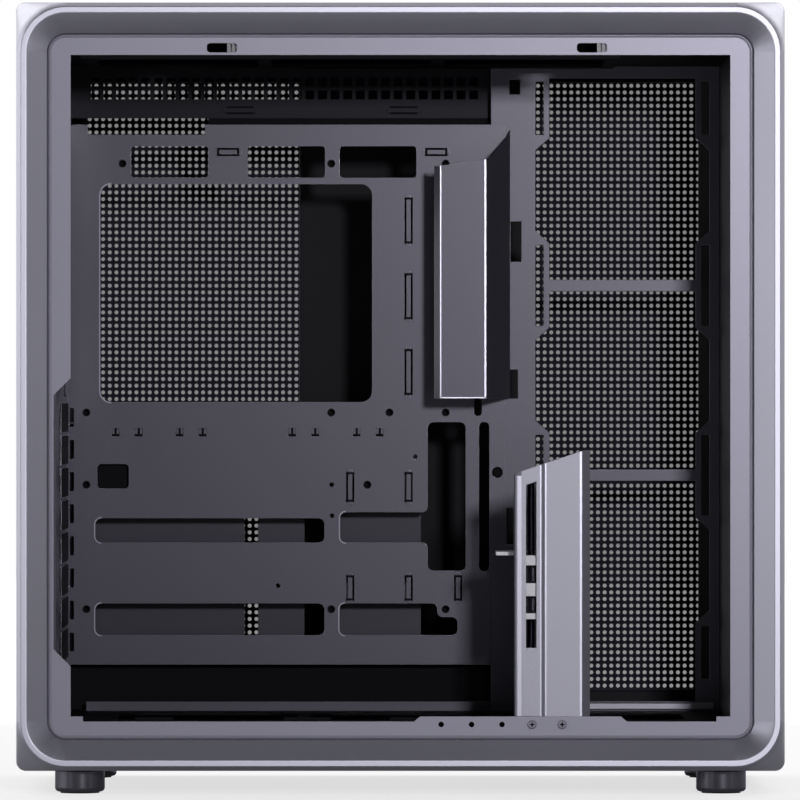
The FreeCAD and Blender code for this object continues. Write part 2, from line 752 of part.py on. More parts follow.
# Vent strip over the tray, set back from it.
strip = new_body("upper_vent_strip")
strip_y = tray_y + s.strip_setback
strip_low = roof_z - s.strip_height
Drawing(strip, "XZ", strip_y).rectangle(
    rear_x, strip_low, tray_right - rear_x, s.strip_height
).pad(s.steel)
strip_vents = Drawing(strip, "XZ", strip_y)
for row in range(2):
    strip_vents.rectangle(
        board_x + 2.4, strip_low + 12.0 + s.strip_vent_pitch * 1.04 * row, s.strip_vent, s.strip_vent
    )
repeat(strip_vents.pocket(), "X", s.strip_vent_pitch * (s.strip_vent_count - 1), s.strip_vent_count)
strip_loops = Drawing(strip, "XZ", strip_y)
strip_bars = Drawing(strip, "XZ", strip_y - s.loop_rise)
for across in (88.2, 192.1):
    left = board_x + across
    strip_loops.rectangle(left, strip_low + 2.4, rule(17.4), s.loop_width)
    strip_bars.rectangle(left - 1.8, strip_low + 2.4 + bar_edge, rule(21.0), s.loop_bar)
strip_loops.pocket()
strip_bars.pad(s.loop_rise)

# Low rail that closes the tray wall at the floor.
rail = new_body("bottom_rail")
rail_length = tray_right - 9.0 - 12.0 - rear_x
Drawing(rail, "XZ", tray_y).rectangle(rear_x + 12.0, floor_z, rail_length, s.rail_height).pad(s.steel)
Drawing(rail, "XZ", bracket_y).rectangle(rear_x + 12.0, floor_z, rail_length, s.steel).pad(s.rail_width)

# Bracket for three side fans in line with the tray.
fan_bracket = new_body("fan_bracket")
fan_x = opening_x - 61.5
fan_z = [mid_z + 4.2 + s.fan_pitch * place for place in (1, 0, -1)]
bracket_left = tray_right - 9.0
bracket_face = Drawing(fan_bracket, "XZ", bracket_y)
bracket_face.rectangle(bracket_left, floor_z, opening_x - bracket_left, roof_z - floor_z)
fan_reach = (s.fan_pitch - s.fan_bar) / 2
fan_tops = (roof_z - 7.8, fan_z[1] + fan_reach, fan_z[2] + fan_reach)
fan_lows = (fan_z[0] - fan_reach, fan_z[1] - fan_reach, floor_z + s.rail_height)
for centre, high, low in zip(fan_z, fan_tops, fan_lows):
    end = s.fan_end_width / 2
    wide = s.fan_mid_width / 2
    tall = s.fan_mid_height / 2
    bend = tall + s.fan_chamfer
    bracket_face.polygon([
        (fan_x - end, low), (fan_x + end, low),
        (fan_x + end, centre - bend), (fan_x + wide, centre - tall),
        (fan_x + wide, centre + tall), (fan_x + end, centre + bend),
        (fan_x + end, high), (fan_x - end, high),
        (fan_x - end, centre + bend), (fan_x - wide, centre + tall),
        (fan_x - wide, centre - tall), (fan_x - end, centre - bend),
    ])
bracket_face.pad(s.steel)
fan_slots = Drawing(fan_bracket, "XZ", bracket_y)
half_slot = s.fan_slot_length / 2
joint_z = [fan_z[1] + s.fan_pitch / 2, fan_z[1] - s.fan_pitch / 2]
slot_spans = [(z - half_slot, s.fan_slot_length) for z in joint_z]
slot_spans.append((fan_z[0] + bend + 2.2, half_slot + 8.0))
slot_spans.append((fan_z[2] - bend - 10.2 - half_slot, half_slot + 8.0))
for x in (fan_x - s.fan_hole_pitch / 2, fan_x + s.fan_hole_pitch / 2):
    for bottom, length in slot_spans:
        fan_slots.rectangle(x - s.fan_slot_width / 2, bottom, s.fan_slot_width, length)
for across, up, width, height in (
    (3.6, -62.0, 6.6, 25.2), (2.8, 44.0, 6.6, 9.0), (2.8, -148.6, 5.2, 18.0), (1.0, -241.0, 4.2, 23.0),
):
    fan_slots.rectangle(tray_right + across, board_z + up, rule(width), rule(height))
fan_slots.pocket()

# Brackets for drives and the power supply behind the tray.
for name, left, right in (("drive_bracket_rear", 2.7, 137.7), ("drive_bracket_front", 153.7, 211.7)):
    bracket = new_body(name)
    drive_low = board_z - 307.0
    drive_height = rule(92.0)
    drive_y = bracket_y + 21.8
    face = Drawing(bracket, "XZ", drive_y)
    face.rectangle(board_x + left, drive_low, rule(right - left), drive_height)
    if name == "drive_bracket_rear":
        face.rectangle(board_x + 99.7, drive_low + 4.0, rule(8.6), drive_height - 8.0)
    face.pad(s.steel)
    legs = Drawing(bracket, "XZ", bracket_y)
    for bottom in (drive_low, drive_low + drive_height - s.steel):
        legs.rectangle(board_x + left, bottom, rule(right - left), s.steel)
    legs.pad(drive_y - bracket_y)
supply_shelf = new_body("psu_shelf")
shelf_drawing = Drawing(supply_shelf, "XY", supply_z - s.steel - 0.5)
shelf_drawing.rectangle(rear_x, bracket_y, rule(150.0), s.supply_width + 4.0)
shelf_drawing.pad(s.steel)

# Hood over the cables: short lip, bare face, bevel back to a foot on the tray.
cable_cover = new_body("cable_cover")
hood_low = board_z - 148.6
hood_left = board_x + 219.9
hood_y = tray_y - s.cable_cover_stand
face_left = hood_left + 3.7
face_right = face_left + s.cable_cover_face
bevel_right = face_right + s.cable_cover_bevel
Drawing(cable_cover, "XY", hood_low).polygon([
    (hood_left, hood_y + 12.0), (hood_left, hood_y + 5.0), (face_left, hood_y), (face_right, hood_y),
    (bevel_right, tray_y), (bevel_right - 11.9, tray_y), (bevel_right - 11.9, tray_y - s.steel),
    (bevel_right - 1.7, tray_y - s.steel), (face_right - 0.85, hood_y + s.steel),
    (face_left + 0.6, hood_y + s.steel), (hood_left + s.steel, hood_y + 5.4),
    (hood_left + s.steel, hood_y + 12.0),
]).pad(s.cable_cover_height + 27.0)
hood_top = hood_low + s.cable_cover_height
Drawing(cable_cover, "XZ", hood_y - 1.0).polygon([
    (hood_left - 1.0, hood_top - 0.2), (face_left, hood_top), (face_right, hood_top + 4.2),
    (face_right + 4.0, hood_top + 7.0), (bevel_right - 2.0, hood_top + 20.0),
    (bevel_right + 1.0, hood_top + 26.5), (bevel_right + 1.0, hood_top + 30.0),
    (hood_left - 1.0, hood_top + 30.0),
]).pocket()

# Holder for a graphics card: folded channel with a slot, foot behind the flange, ears for the rod.
holder = new_body("gpu_holder")
holder_right = holder_x + s.holder_width
holder_back = flange_y + s.holder_depth
Drawing(holder, "XY", ledge_z).polygon([
    (holder_x, holder_back), (holder_x, flange_y + 7.5),
    (holder_x + 4.4, flange_y + 2.8), (holder_x + 16.6, flange_y + 2.8),
    (holder_x + 18.6, flange_y), (holder_right - 4.9, flange_y),
    (holder_right, flange_y + 6.0), (holder_right, flange_y + 18.0),
    (holder_right - s.steel, flange_y + 18.0), (holder_right - s.steel, flange_y + 6.5),
    (holder_right - 5.5, inner_y), (holder_x + 19.3, inner_y),
    (holder_x + 17.3, flange_y + 4.0), (holder_x + 4.9, flange_y + 4.0),
    (holder_x + s.steel, flange_y + 8.0), (holder_x + s.steel, holder_back),
]).pad(s.holder_height)
holder_top = ledge_z + s.holder_height
Drawing(holder, "XZ", flange_y - 1.0).polygon([
    (holder_x - 1.0, holder_top - 15.8), (holder_x + 1.5, holder_top - 14.4),
    (holder_x + 5.0, holder_top - 12.6), (holder_right + 1.0, holder_top + 1.6),
    (holder_right + 1.0, holder_top + 5.0), (holder_x - 1.0, holder_top + 5.0),
]).pocket()
rod_x = holder_x + 10.3
slot_left = rod_x - s.holder_slot_width / 2
slot_right = rod_x + s.holder_slot_width / 2
slot_low = ledge_z + 41.9
slot_high = slot_low + s.holder_slot_length
Drawing(holder, "XZ", flange_y).polygon([
    (slot_left, slot_low), (slot_right, slot_low), (slot_right, slot_high), (slot_left, slot_high - 2.2),
]).pocket(6.0)
foot_tab = Drawing(holder, "XZ", inner_y)
foot_tab.polygon([
    (holder_tab_left, floor_z - 8.4), (holder_tab_right, floor_z - 8.4),
    (holder_tab_right, ledge_z + 6.0), (holder_x + 19.6, ledge_z + 6.0),
    (holder_x + 19.6, ledge_z - 0.4), (holder_tab_left, ledge_z - 0.4),
])
for x in ledge_holes[3:]:
    foot_tab.circle(x, ledge_hole_z, 1.7)
foot_tab.pad(s.steel)
rod_y = flange_y + 13.0
ear_low = slot_low - 5.4
ear_high = slot_high + 3.3
for level in (ear_low, ear_high):
    ear = Drawing(holder, "XY", level)
    ear.polygon([
        (holder_x + s.steel, flange_y + 22.0), (holder_x + s.steel, flange_y + 8.0),
        (holder_x + 4.9, flange_y + 4.0), (holder_x + 17.0, flange_y + 4.0),
        (holder_x + 17.0, flange_y + 22.0),
    ])
    ear.circle(rod_x, rod_y, s.rod_radius)
    ear.pad(2.0)
rod = new_body("holder_rod")
Drawing(rod, "XY", ear_low - 2.0).circle(rod_x, rod_y, s.rod_radius).pad(ear_high - ear_low + 4.6)
holder_screws = []
for number, x in enumerate(ledge_holes[3:], 1):
    screw = new_body(f"holder_screw_{number}", exported=False)
    Drawing(screw, "XY", ledge_hole_z, (x, 0)).polygon([
        (0, flange_y - 1.8), (2.0, flange_y - 1.8), (2.8, flange_y - 1.0), (2.8, flange_y),
        (1.5, flange_y), (1.5, inner_y + s.steel), (0, inner_y + s.steel),
    ]).turn("V")
    holder_screws.append(screw)
group("holder_screws", holder_screws)

# Arm that slides on the rod, clamped by two knurled nuts between its three blocks.
arm = new_body("gpu_arm")
block_left = rod_x - 5.3
block_front = flange_y + 6.5
block_back = flange_y + 22.0
bore = s.rod_radius + s.rod_clearance
arm_top = slot_low + 58.5
carriage_low = arm_top - 41.0
back_plate = Drawing(arm, "XZ", block_back - 2.0)
back_plate.rectangle(block_left, carriage_low, rule(10.6), rule(41.0))
back_plate.pad(2.0)
for level, height in ((0.0, 3.6), (14.1, 8.0), (33.0, 6.1)):
    ear = Drawing(arm, "XY", carriage_low + level)
    ear.rectangle(block_left, block_front, rule(10.6), block_back - block_front)
    ear.circle(rod_x, rod_y, bore)
    ear.pad(height)
shelf_y = holder_back + 1.5
Drawing(arm, "XY", arm_top - s.arm_sheet).polygon([
    (block_left, block_back - 2.0), (block_left + 10.6, block_back - 2.0),
    (block_left + 10.6, shelf_y + s.arm_length), (holder_x - s.arm_reach, shelf_y + s.arm_length),
    (holder_x - s.arm_reach, shelf_y), (block_left, shelf_y),
]).pad(s.arm_sheet)
for name, level, height in (("arm_nut_lower", 3.9, 9.9), ("arm_nut_upper", 22.4, 10.3)):
    nut = new_body(name)
    Drawing(nut, "XZ", rod_y, (rod_x, 0)).polygon([
        (bore, carriage_low + level), (s.nut_radius - 0.8, carriage_low + level),
        (s.nut_radius, carriage_low + level + 0.8), (s.nut_radius, carriage_low + level + height - 0.8),
        (s.nut_radius - 0.8, carriage_low + level + height), (bore, carriage_low + level + height),
    ]).turn("V")

# Feet: turned, with the lower edge rounded and a rubber pad let into the underside.
foot_low = s.pad_proud
for name, side_x, side_y in (
    ("rear_left", -1, -1), ("front_left", 1, -1), ("rear_right", -1, 1), ("front_right", 1, 1),
):
    foot_x = (half_x - s.foot_inset_x) * side_x
    foot_y = (half_y - s.foot_inset_y) * side_y
    foot = new_body("foot_" + name)
    turned = Drawing(foot, "XZ", foot_y, (foot_x, 0)).polygon([
        (0, s.pad_height), (s.pad_radius, s.pad_height), (s.pad_radius, foot_low),
        (s.foot_radius, foot_low), (s.foot_radius, base_z), (0, base_z),
    ]).turn("V")
    round_edges(turned, s.foot_round, lambda edge: (
        abs(edge.CenterOfMass.z - foot_low.number) < 0.01
        and edge.BoundBox.XLength > 2 * s.foot_radius.number - 0.1
    ))
    pad = new_body("foot_pad_" + name)
    Drawing(pad, "XY", 0, (foot_x, foot_y)).circle(0, 0, s.pad_radius).pad(s.pad_height)

# Button and ports in the front cover, carried on a board behind it.
port_board_x = half_x - s.cover_wall - s.port_board_gap
port_line = frame_back + 20.0
button_z = roof_z - 14.0
board_face = Drawing(front_cover, "YZ", half_x - s.cover_wall)
board_face.circle(port_line, button_z, s.button_radius + s.button_clearance)
ports = {
    "usb_c_port": (roof_z - 38.0, 3.4, 9.2),
    "usb_port_upper": (roof_z - 58.0, 6.0, 13.4),
    "usb_port_lower": (roof_z - 78.0, 6.0, 13.4),
}
for z, width, height in ports.values():
    board_face.rectangle(
        port_line - width / 2 - s.port_clearance, z - height / 2 - s.port_clearance,
        width + 2 * s.port_clearance, height + 2 * s.port_clearance,
    )
jack_z = roof_z - 96.0
board_face.circle(port_line, jack_z, 3.2 + s.port_clearance)
board_face.pocket()
posts = Drawing(front_cover, "YZ", half_x - s.cover_wall - s.port_board_gap)
post_z = (button_z + 14.0, jack_z - 12.0)
for z in post_z:
    posts.circle(port_line, z, 3.0)
posts.pad(s.port_board_gap)
port_board = new_body("io_board")
Drawing(port_board, "YZ", port_board_x - s.port_board_sheet).rectangle(
    port_line - 10.0, post_z[1] - 5.0, rule(20.0), post_z[0] - post_z[1] + 10.0
).pad(s.port_board_sheet)
port_length = s.port_board_gap + s.cover_wall - s.port_inset
for name, (z, width, height) in ports.items():
    port = new_body(name)
    Drawing(port, "YZ", port_board_x).rectangle(
        port_line - width / 2, z - height / 2, rule(width), rule(height)
    ).pad(port_length)
    mouth = Drawing(port, "YZ", half_x - s.port_inset - 7.0)
    mouth.rectangle(port_line - width / 2 + 0.5, z - height / 2 + 0.5, rule(width - 1.0), rule(height - 1.0))
    tongue = width * 0.2
    tongue_left = port_line - tongue / 2 if name == "usb_c_port" else port_line + tongue / 2
    mouth.rectangle(tongue_left, z - height / 2 + 1.2, rule(tongue), rule(height - 2.4))
    mouth.pocket(7.0)
jack = new_body("audio_jack")
Drawing(jack, "YZ", port_board_x).circle(port_line, jack_z, 3.2).pad(port_length)
Drawing(jack, "YZ", half_x - s.port_inset - 9.0).circle(port_line, jack_z, 1.75).pocket(9.0)
switch = new_body("power_switch")
switch_height = rule(4.4)
Drawing(switch, "YZ", port_board_x).rectangle(
    port_line - 3.0, button_z - 3.0, rule(6.0), rule(6.0)
).pad(switch_height)
button = new_body("power_button")
collar_back = half_x - s.cover_wall - s.button_clearance
button_face = half_x - s.button_inset
Drawing(button, "XY", button_z, (0, port_line)).polygon([
    (port_board_x + switch_height + 1.5, 0), (port_board_x + switch_height + 1.5, 2.0),
    (collar_back - 1.6, 2.0), (collar_back - 1.6, s.button_radius + s.button_collar),
    (collar_back, s.button_radius + s.button_collar), (collar_back, s.button_radius),
    (button_face - 0.6, s.button_radius), (button_face, s.button_radius - 0.6),
    (button_face - 0.5, 0),
]).turn("H")

doc.recompute()
for thing in doc.Objects:
    if "Invalid" in thing.State or "Error" in thing.State:
        raise RuntimeError(f"{thing.Name} did not build: {thing.State}")
os.makedirs("parts", exist_ok=True)
for name, piece in PIECES.items():
    if piece.Shape.isNull() or not piece.Shape.isValid() or not piece.Shape.Solids:
        raise RuntimeError(f"{name} is not a valid solid")
    piece.Shape.exportStep(f"parts/{name}.step")
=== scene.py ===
import math

import bmesh
import bpy
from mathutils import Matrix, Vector


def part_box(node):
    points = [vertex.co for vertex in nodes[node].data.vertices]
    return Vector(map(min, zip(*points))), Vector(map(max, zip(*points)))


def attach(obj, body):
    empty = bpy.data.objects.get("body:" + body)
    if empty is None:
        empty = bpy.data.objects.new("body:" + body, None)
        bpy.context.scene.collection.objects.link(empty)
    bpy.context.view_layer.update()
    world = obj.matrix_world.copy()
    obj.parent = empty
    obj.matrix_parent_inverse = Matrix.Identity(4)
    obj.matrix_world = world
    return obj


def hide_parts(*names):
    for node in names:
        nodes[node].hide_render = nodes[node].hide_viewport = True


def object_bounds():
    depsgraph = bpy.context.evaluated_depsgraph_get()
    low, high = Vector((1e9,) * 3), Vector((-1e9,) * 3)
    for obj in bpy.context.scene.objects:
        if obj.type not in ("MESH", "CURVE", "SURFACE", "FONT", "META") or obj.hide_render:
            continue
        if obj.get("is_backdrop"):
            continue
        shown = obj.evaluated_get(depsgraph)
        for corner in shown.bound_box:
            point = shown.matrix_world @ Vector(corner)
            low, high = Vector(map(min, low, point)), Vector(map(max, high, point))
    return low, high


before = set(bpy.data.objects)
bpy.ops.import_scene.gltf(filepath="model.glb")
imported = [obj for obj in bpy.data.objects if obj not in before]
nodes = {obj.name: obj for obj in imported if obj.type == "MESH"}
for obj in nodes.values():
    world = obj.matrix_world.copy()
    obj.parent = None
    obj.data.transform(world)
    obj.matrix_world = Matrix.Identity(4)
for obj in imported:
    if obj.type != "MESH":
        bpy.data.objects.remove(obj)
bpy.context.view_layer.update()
MM = 0.001


def srgb(red, green, blue):
    """A colour as it is seen on screen, from 0 to 255, as the linear values that the shaders take."""
    def linear(value):
        value = value / 255
        return value / 12.92 if value <= 0.04045 else ((value + 0.055) / 1.055) ** 2.4
    return tuple(linear(v) for v in (red, green, blue))


def map_range(tree, value, low, high, to_low, to_high):
    """A node that carries one range of values over to another."""
    made = tree.nodes.new("ShaderNodeMapRange")
    for name, number in (
        ("From Min", low), ("From Max", high), ("To Min", to_low), ("To Max", to_high),
    ):
        made.inputs[name].default_value = number
    tree.links.new(value, made.inputs["Value"])
    return made


def math_node(tree, operation, first, second):
    made = tree.nodes.new("ShaderNodeMath")
    made.operation = operation
    for socket, value in zip(made.inputs, (first, second)):
        if isinstance(value, float):
            socket.default_value = value
        else:
            tree.links.new(value, socket)
    return made.outputs["Value"]


class Finish:
    """A node material, built up from one Principled shader."""

    def __init__(self, name, roughness, metallic=0.0, specular=0.5):
        self.material = bpy.data.materials.new(name)
        self.material.use_nodes = True
        self.tree = self.material.node_tree
        self.shader = self.tree.nodes["Principled BSDF"]
        self.shader.inputs["Roughness"].default_value = roughness
        self.shader.inputs["Metallic"].default_value = metallic
        self.shader.inputs["Specular IOR Level"].default_value = specular
        self.place = self.node("ShaderNodeTexCoord").outputs["Object"]

    def node(self, kind, **settings):
        made = self.tree.nodes.new(kind)
        for key, value in settings.items():
            setattr(made, key, value)
        return made

    def link(self, source, target):
        self.tree.links.new(source, target)

    def noise(self, scale, detail=2.0, roughness=0.5):
        made = self.node("ShaderNodeTexNoise")
        made.inputs["Scale"].default_value = scale
        made.inputs["Detail"].default_value = detail
        made.inputs["Roughness"].default_value = roughness
        self.link(self.place, made.inputs["Vector"])
        return made.outputs["Fac"]

    def spread(self, value, low, high, to_low, to_high):
        return map_range(self.tree, value, low, high, to_low, to_high).outputs["Result"]

    def mix(self, amount, first, second):
        made = self.node("ShaderNodeMix", data_type="RGBA")
        self.link(amount, made.inputs["Factor"])
        for socket, value in ((made.inputs["A"], first), (made.inputs["B"], second)):
            if isinstance(value, tuple):
                socket.default_value = (*value, 1)
            else:
                self.link(value, socket)
        return made.outputs["Result"]

    def colour(self, value):
        self.link(value, self.shader.inputs["Base Color"])

    def bump(self, height, strength, distance):
        made = self.node("ShaderNodeBump")
        made.inputs["Strength"].default_value = strength
        made.inputs["Distance"].default_value = distance
        self.link(height, made.inputs["Height"])
        self.link(made.outputs["Normal"], self.shader.inputs["Normal"])


def varied(finish, colour, share, scale=9.0):
    """The colour with a slow drift between a darker and a lighter shade."""
    dark = tuple(c * (1 - share) for c in colour)
    light = tuple(c * (1 + share) for c in colour)
    return finish.mix(finish.noise(scale, 3.0), dark, light)


GLOSS_TINT = (0.84, 0.82, 1.0)
PAINT_GRAIN = 1900.0


def powder_coat(name, colour, roughness=0.28, specular=0.4, metallic=0.0, grain=0.08, speckle=0.12):
    """Paint with a fine dark speckle and the bump of a powder coat."""
    finish = Finish(name, roughness, metallic, specular)
    finish.shader.inputs["Specular Tint"].default_value = (*GLOSS_TINT, 1)
    fine = finish.noise(PAINT_GRAIN, 2.0, 0.6)
    drift = varied(finish, colour, 0.05)
    spots = finish.spread(fine, 0.35, 0.65, 0.0, 1.0)
    low = tuple(c * (1 - speckle) for c in colour)
    finish.colour(finish.mix(spots, low, drift))
    finish.bump(fine, grain, 0.0002)
    return finish.material


def moulded(name, colour, roughness, grain=0.08, scale=1500.0):
    finish = Finish(name, roughness)
    finish.colour(varied(finish, colour, 0.1, 40.0))
    finish.bump(finish.noise(scale, 2.0), grain, 0.0002)
    return finish.material


def bare_metal(name, colour, roughness, scale=700.0):
    finish = Finish(name, roughness, metallic=1.0)
    finish.colour(varied(finish, colour, 0.08, 120.0))
    finish.bump(finish.noise(scale, 2.0), 0.06, 0.0001)
    return finish.material


PAINT = srgb(138, 136, 151)

# Anodised frame under a clear seal, so its slopes take their tone from what they face.
anodised = Finish("anodised_frame", 0.5, metallic=1.0)
anodised.colour(varied(anodised, srgb(176, 175, 191), 0.03))
anodised.bump(anodised.noise(2600.0, 2.0), 0.05, 0.0001)
anodised.shader.inputs["Coat Weight"].default_value = 1.0
anodised.shader.inputs["Coat Roughness"].default_value = 0.42
anodised.shader.inputs["Coat IOR"].default_value = 1.6

paint = powder_coat("case_paint", PAINT, 0.35, 0.9)
holder_paint = powder_coat("holder_paint", srgb(150, 149, 161), 0.5, 0.5, metallic=0.7)
# A lighter, glossier copy of the holder paint for its rolled lip: a painted highlight along the lip.
lip_highlight_paint = powder_coat("lip_highlight_paint", srgb(156, 155, 168), 0.42, 0.5, metallic=0.7)
# Darker copies of the paint for parts inside the case, darker the deeper they lie: their darkness is partly
# the paint and partly painted shade for the dim interior.
inner_paint = powder_coat("inner_paint", srgb(60, 59, 69), 0.32, 0.55)
tray_paint = powder_coat("tray_paint", srgb(47, 46, 55), 0.32, 0.6)
deep_shade_paint = powder_coat("deep_shade_paint", srgb(34, 33, 40), 0.4, 0.3)
# Black, which on most parts it goes on paints shade: deep in the case, in holes, hollows, slits and gaps.
black_and_shade_paint = powder_coat("black_and_shade_paint", srgb(10, 9, 12), 0.55, 0.06)
# Near-black copy for the vent strip: a painted shadow, cast on it by the roof.
strip_shade_paint = powder_coat("strip_shade_paint", srgb(17, 16, 20), 0.4, 0.1)
# A bright copy of the case paint for rounded edges and edge strips: a painted highlight that stands in for
# the glint along them.
painted_edge_highlight = powder_coat("painted_edge_highlight", srgb(176, 175, 190), 0.3, metallic=0.9)
arm_paint = powder_coat("arm_paint", srgb(230, 230, 236), 0.4)
# A dimmer copy for the fan bracket's rounded edges: also a painted highlight.
dim_painted_edge_highlight = powder_coat("dim_painted_edge_highlight", srgb(104, 103, 114), 0.35, metallic=0.5)
# Mid-dark paint for the bead in the gap between the flange and the frame: painted shade.
gap_shade_paint = powder_coat("gap_shade_paint", srgb(98, 97, 108), 0.5, 0.3)
dark_steel = bare_metal("dark_steel", srgb(92, 92, 100), 0.2)
screw_paint = powder_coat("screw_paint", srgb(134, 132, 146), 0.4, 0.5)
port_steel = bare_metal("port_steel", srgb(190, 190, 194), 0.28)
black_plastic = moulded("black_plastic", srgb(26, 26, 29), 0.5)
clip_plastic = moulded("clip_plastic", srgb(120, 120, 128), 0.4)
foot_gloss = powder_coat("foot_gloss", srgb(104, 103, 112), 0.2, 0.5, metallic=0.8, grain=0.02)
rubber = moulded("rubber", srgb(18, 18, 19), 0.8, 0.25, 900.0)
board_green = moulded("board_green", srgb(30, 70, 48), 0.4, 0.1, 300.0)


def two_tone(name, within):
    """Sheet that is painted outside, towards +Y, and dark within."""
    finish = Finish(name, 0.65, specular=0.15)
    facing = finish.node("ShaderNodeSeparateXYZ")
    finish.link(finish.node("ShaderNodeNewGeometry").outputs["Normal"], facing.inputs["Vector"])
    inside = finish.spread(facing.outputs["Y"], -0.5, 0.3, 1.0, 0.0)
    finish.colour(finish.mix(inside, varied(finish, PAINT, 0.05), within))
    finish.bump(finish.noise(PAINT_GRAIN, 2.0, 0.6), 0.2, 0.0002)
    return finish.material


panel_paint = two_tone("panel_paint", srgb(24, 23, 29))
mesh_paint = two_tone("mesh_paint", srgb(68, 65, 80))

# Nylon dust mesh: fine weave, partly see-through.
nylon = Finish("dust_mesh", 0.8, specular=0.1)
weave = nylon.node("ShaderNodeTexChecker")
weave.inputs["Scale"].default_value = 1400.0
nylon.link(nylon.place, weave.inputs["Vector"])
nylon.colour(nylon.mix(weave.outputs["Fac"], srgb(36, 34, 44), srgb(50, 47, 60)))
nylon.shader.inputs["Alpha"].default_value = 0.54

SLOT_COVERS = [f"slot_cover_{i}" for i in range(1, 9)]
FINISHES = {
    anodised.material: ["side_frame"],
    paint: ["inner_flange", "top_cover", "bottom_cover", "front_cover", "rear_frame", "power_button"],
    holder_paint: ["gpu_holder"],
    inner_paint: ["cable_cover", "fan_bracket"],
    tray_paint: ["motherboard_tray", "bottom_rail", "chassis_front_wall", "rear_panel"],
    deep_shade_paint: ["psu_shelf", "drive_bracket_rear", "drive_bracket_front"],
    # On the roof, floor and top fan bracket the black paints the shade deep in the case.
    black_and_shade_paint: ["chassis_roof", "chassis_floor", "top_fan_bracket", *SLOT_COVERS],
    strip_shade_paint: ["upper_vent_strip"],
    nylon.material: ["side_filter_rear", "side_filter_front", "top_filter"],
    clip_plastic: ["panel_catch_rear", "panel_catch_front"],
    arm_paint: ["gpu_arm"],
    dark_steel: ["holder_rod", "arm_nut_lower", "arm_nut_upper", "slot_screws"],
    screw_paint: ["holder_screws"],
    port_steel: ["usb_c_port", "usb_port_upper", "usb_port_lower"],
    black_plastic: ["audio_jack", "power_switch"],
    board_green: ["io_board"],
    foot_gloss: [n for n in nodes if n.startswith("foot_") and "pad" not in n],
    rubber: [n for n in nodes if n.startswith("foot_pad")],
    panel_paint: ["right_side_panel"],
}
for finish, names in FINISHES.items():
    for name in names:
        nodes[name].data.materials.clear()
        nodes[name].data.materials.append(finish)


def soften(name, width, segments=2, rim=None):
    """Rounds the sharp edges of a CAD node by a width in millimetres, as pressed sheet has them. A rim
    material, when given, goes on the bevel faces and paints a highlight along them.
    """
    piece = nodes[name]
    weld = piece.modifiers.new("weld", "WELD")
    weld.merge_threshold = 0.000005
    flat = piece.modifiers.new("flat", "DECIMATE")
    flat.decimate_type = "DISSOLVE"
    flat.angle_limit = math.radians(0.5)
    bevel = piece.modifiers.new("bevel", "BEVEL")
    bevel.width = width * MM
    bevel.segments = segments
    bevel.limit_method = "ANGLE"
    bevel.angle_limit = math.radians(28)
    bevel.harden_normals = True
    if rim:
        piece.data.materials.append(rim)
        bevel.material = 1


RIM_SEGMENTS = 4
for name in ("inner_flange", "bottom_rail", "rear_panel", "front_cover", "rear_frame", "chassis_front_wall"):
    soften(name, 0.35)
# The bevel faces of these take a bright rim material, which paints a highlight along their edges.
for name, width, rim in (
    ("motherboard_tray", 0.5, painted_edge_highlight), ("fan_bracket", 0.45, dim_painted_edge_highlight),
    ("cable_cover", 0.8, painted_edge_highlight), ("gpu_holder", 0.5, painted_edge_highlight),
):
    soften(name, width, RIM_SEGMENTS, rim)
for name in SLOT_COVERS:
    soften(name, 0.4, RIM_SEGMENTS, painted_edge_highlight)
soften("side_frame", 0.5, 3)
soften("gpu_arm", 0.4)


def add_piece(name, bm, finish, body="case", replaced=()):
    """Makes a piece from a mesh, with its points joined and its faces turned outward."""
    bmesh.ops.remove_doubles(bm, verts=bm.verts[:], dist=1e-6)
    bmesh.ops.recalc_face_normals(bm, faces=bm.faces[:])
    mesh = bpy.data.meshes.new(name)
    bm.to_mesh(mesh)
    bm.free()
    mesh.materials.append(finish)
    piece = bpy.data.objects.new(name, mesh)
    bpy.context.scene.collection.objects.link(piece)
    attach(piece, body)
    if replaced:
        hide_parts(*replaced)
    return piece


def rounded_loop(left, right, low, high, radius, steps=6):
    points = []
    for turn, (x, z) in enumerate((
        (right - radius, high - radius), (left + radius, high - radius),
        (left + radius, low + radius), (right - radius, low + radius),
    )):
        for step in range(steps + 1):
            angle = (turn + step / steps) * math.pi / 2
            points.append((x + radius * math.cos(angle), z + radius * math.sin(angle)))
    return points


def circle(x, z, radius, steps=24):
    angles = [math.tau * k / steps for k in range(steps)]
    return [(x + radius * math.cos(a), z + radius * math.sin(a)) for a in angles]


def upright(left, right, low, high, high_right=None):
    """A four-sided outline, given in millimetres, whose top may slope."""
    if high_right is None:
        high_right = high
    corners = ((left, low), (right, low), (right, high_right), (left, high))
    return [(x * MM, z * MM) for x, z in corners]


def fill(bm, loops, y):
    """A flat face at y with the first loop as its outline and the others as holes."""
    edges = []
    for loop in loops:
        spots = [bm.verts.new((x, y, z)) for x, z in loop]
        edges += [bm.edges.new((a, b)) for a, b in zip(spots, spots[1:] + spots[:1])]
    bmesh.ops.triangle_fill(bm, edges=edges, use_beauty=True, normal=(0, 1, 0))


def band(bm, first, y0, second, y1):
    """Side faces between two loops of as many points."""
    near = [bm.verts.new((x, y0, z)) for x, z in first]
    far = [bm.verts.new((x, y1, z)) for x, z in second]
    for i in range(len(first)):
        j = (i + 1) % len(first)
        bm.faces.new((near[i], near[j], far[j], far[i]))


def wall(bm, loop, y0, y1):
    band(bm, loop, y0, loop, y1)


def prism(bm, outline, y0, y1):
    """A closed slab with the outline given in X and Z, between two values of Y."""
    fill(bm, [outline], y0)
    fill(bm, [outline], y1)
    wall(bm, outline, y0, y1)


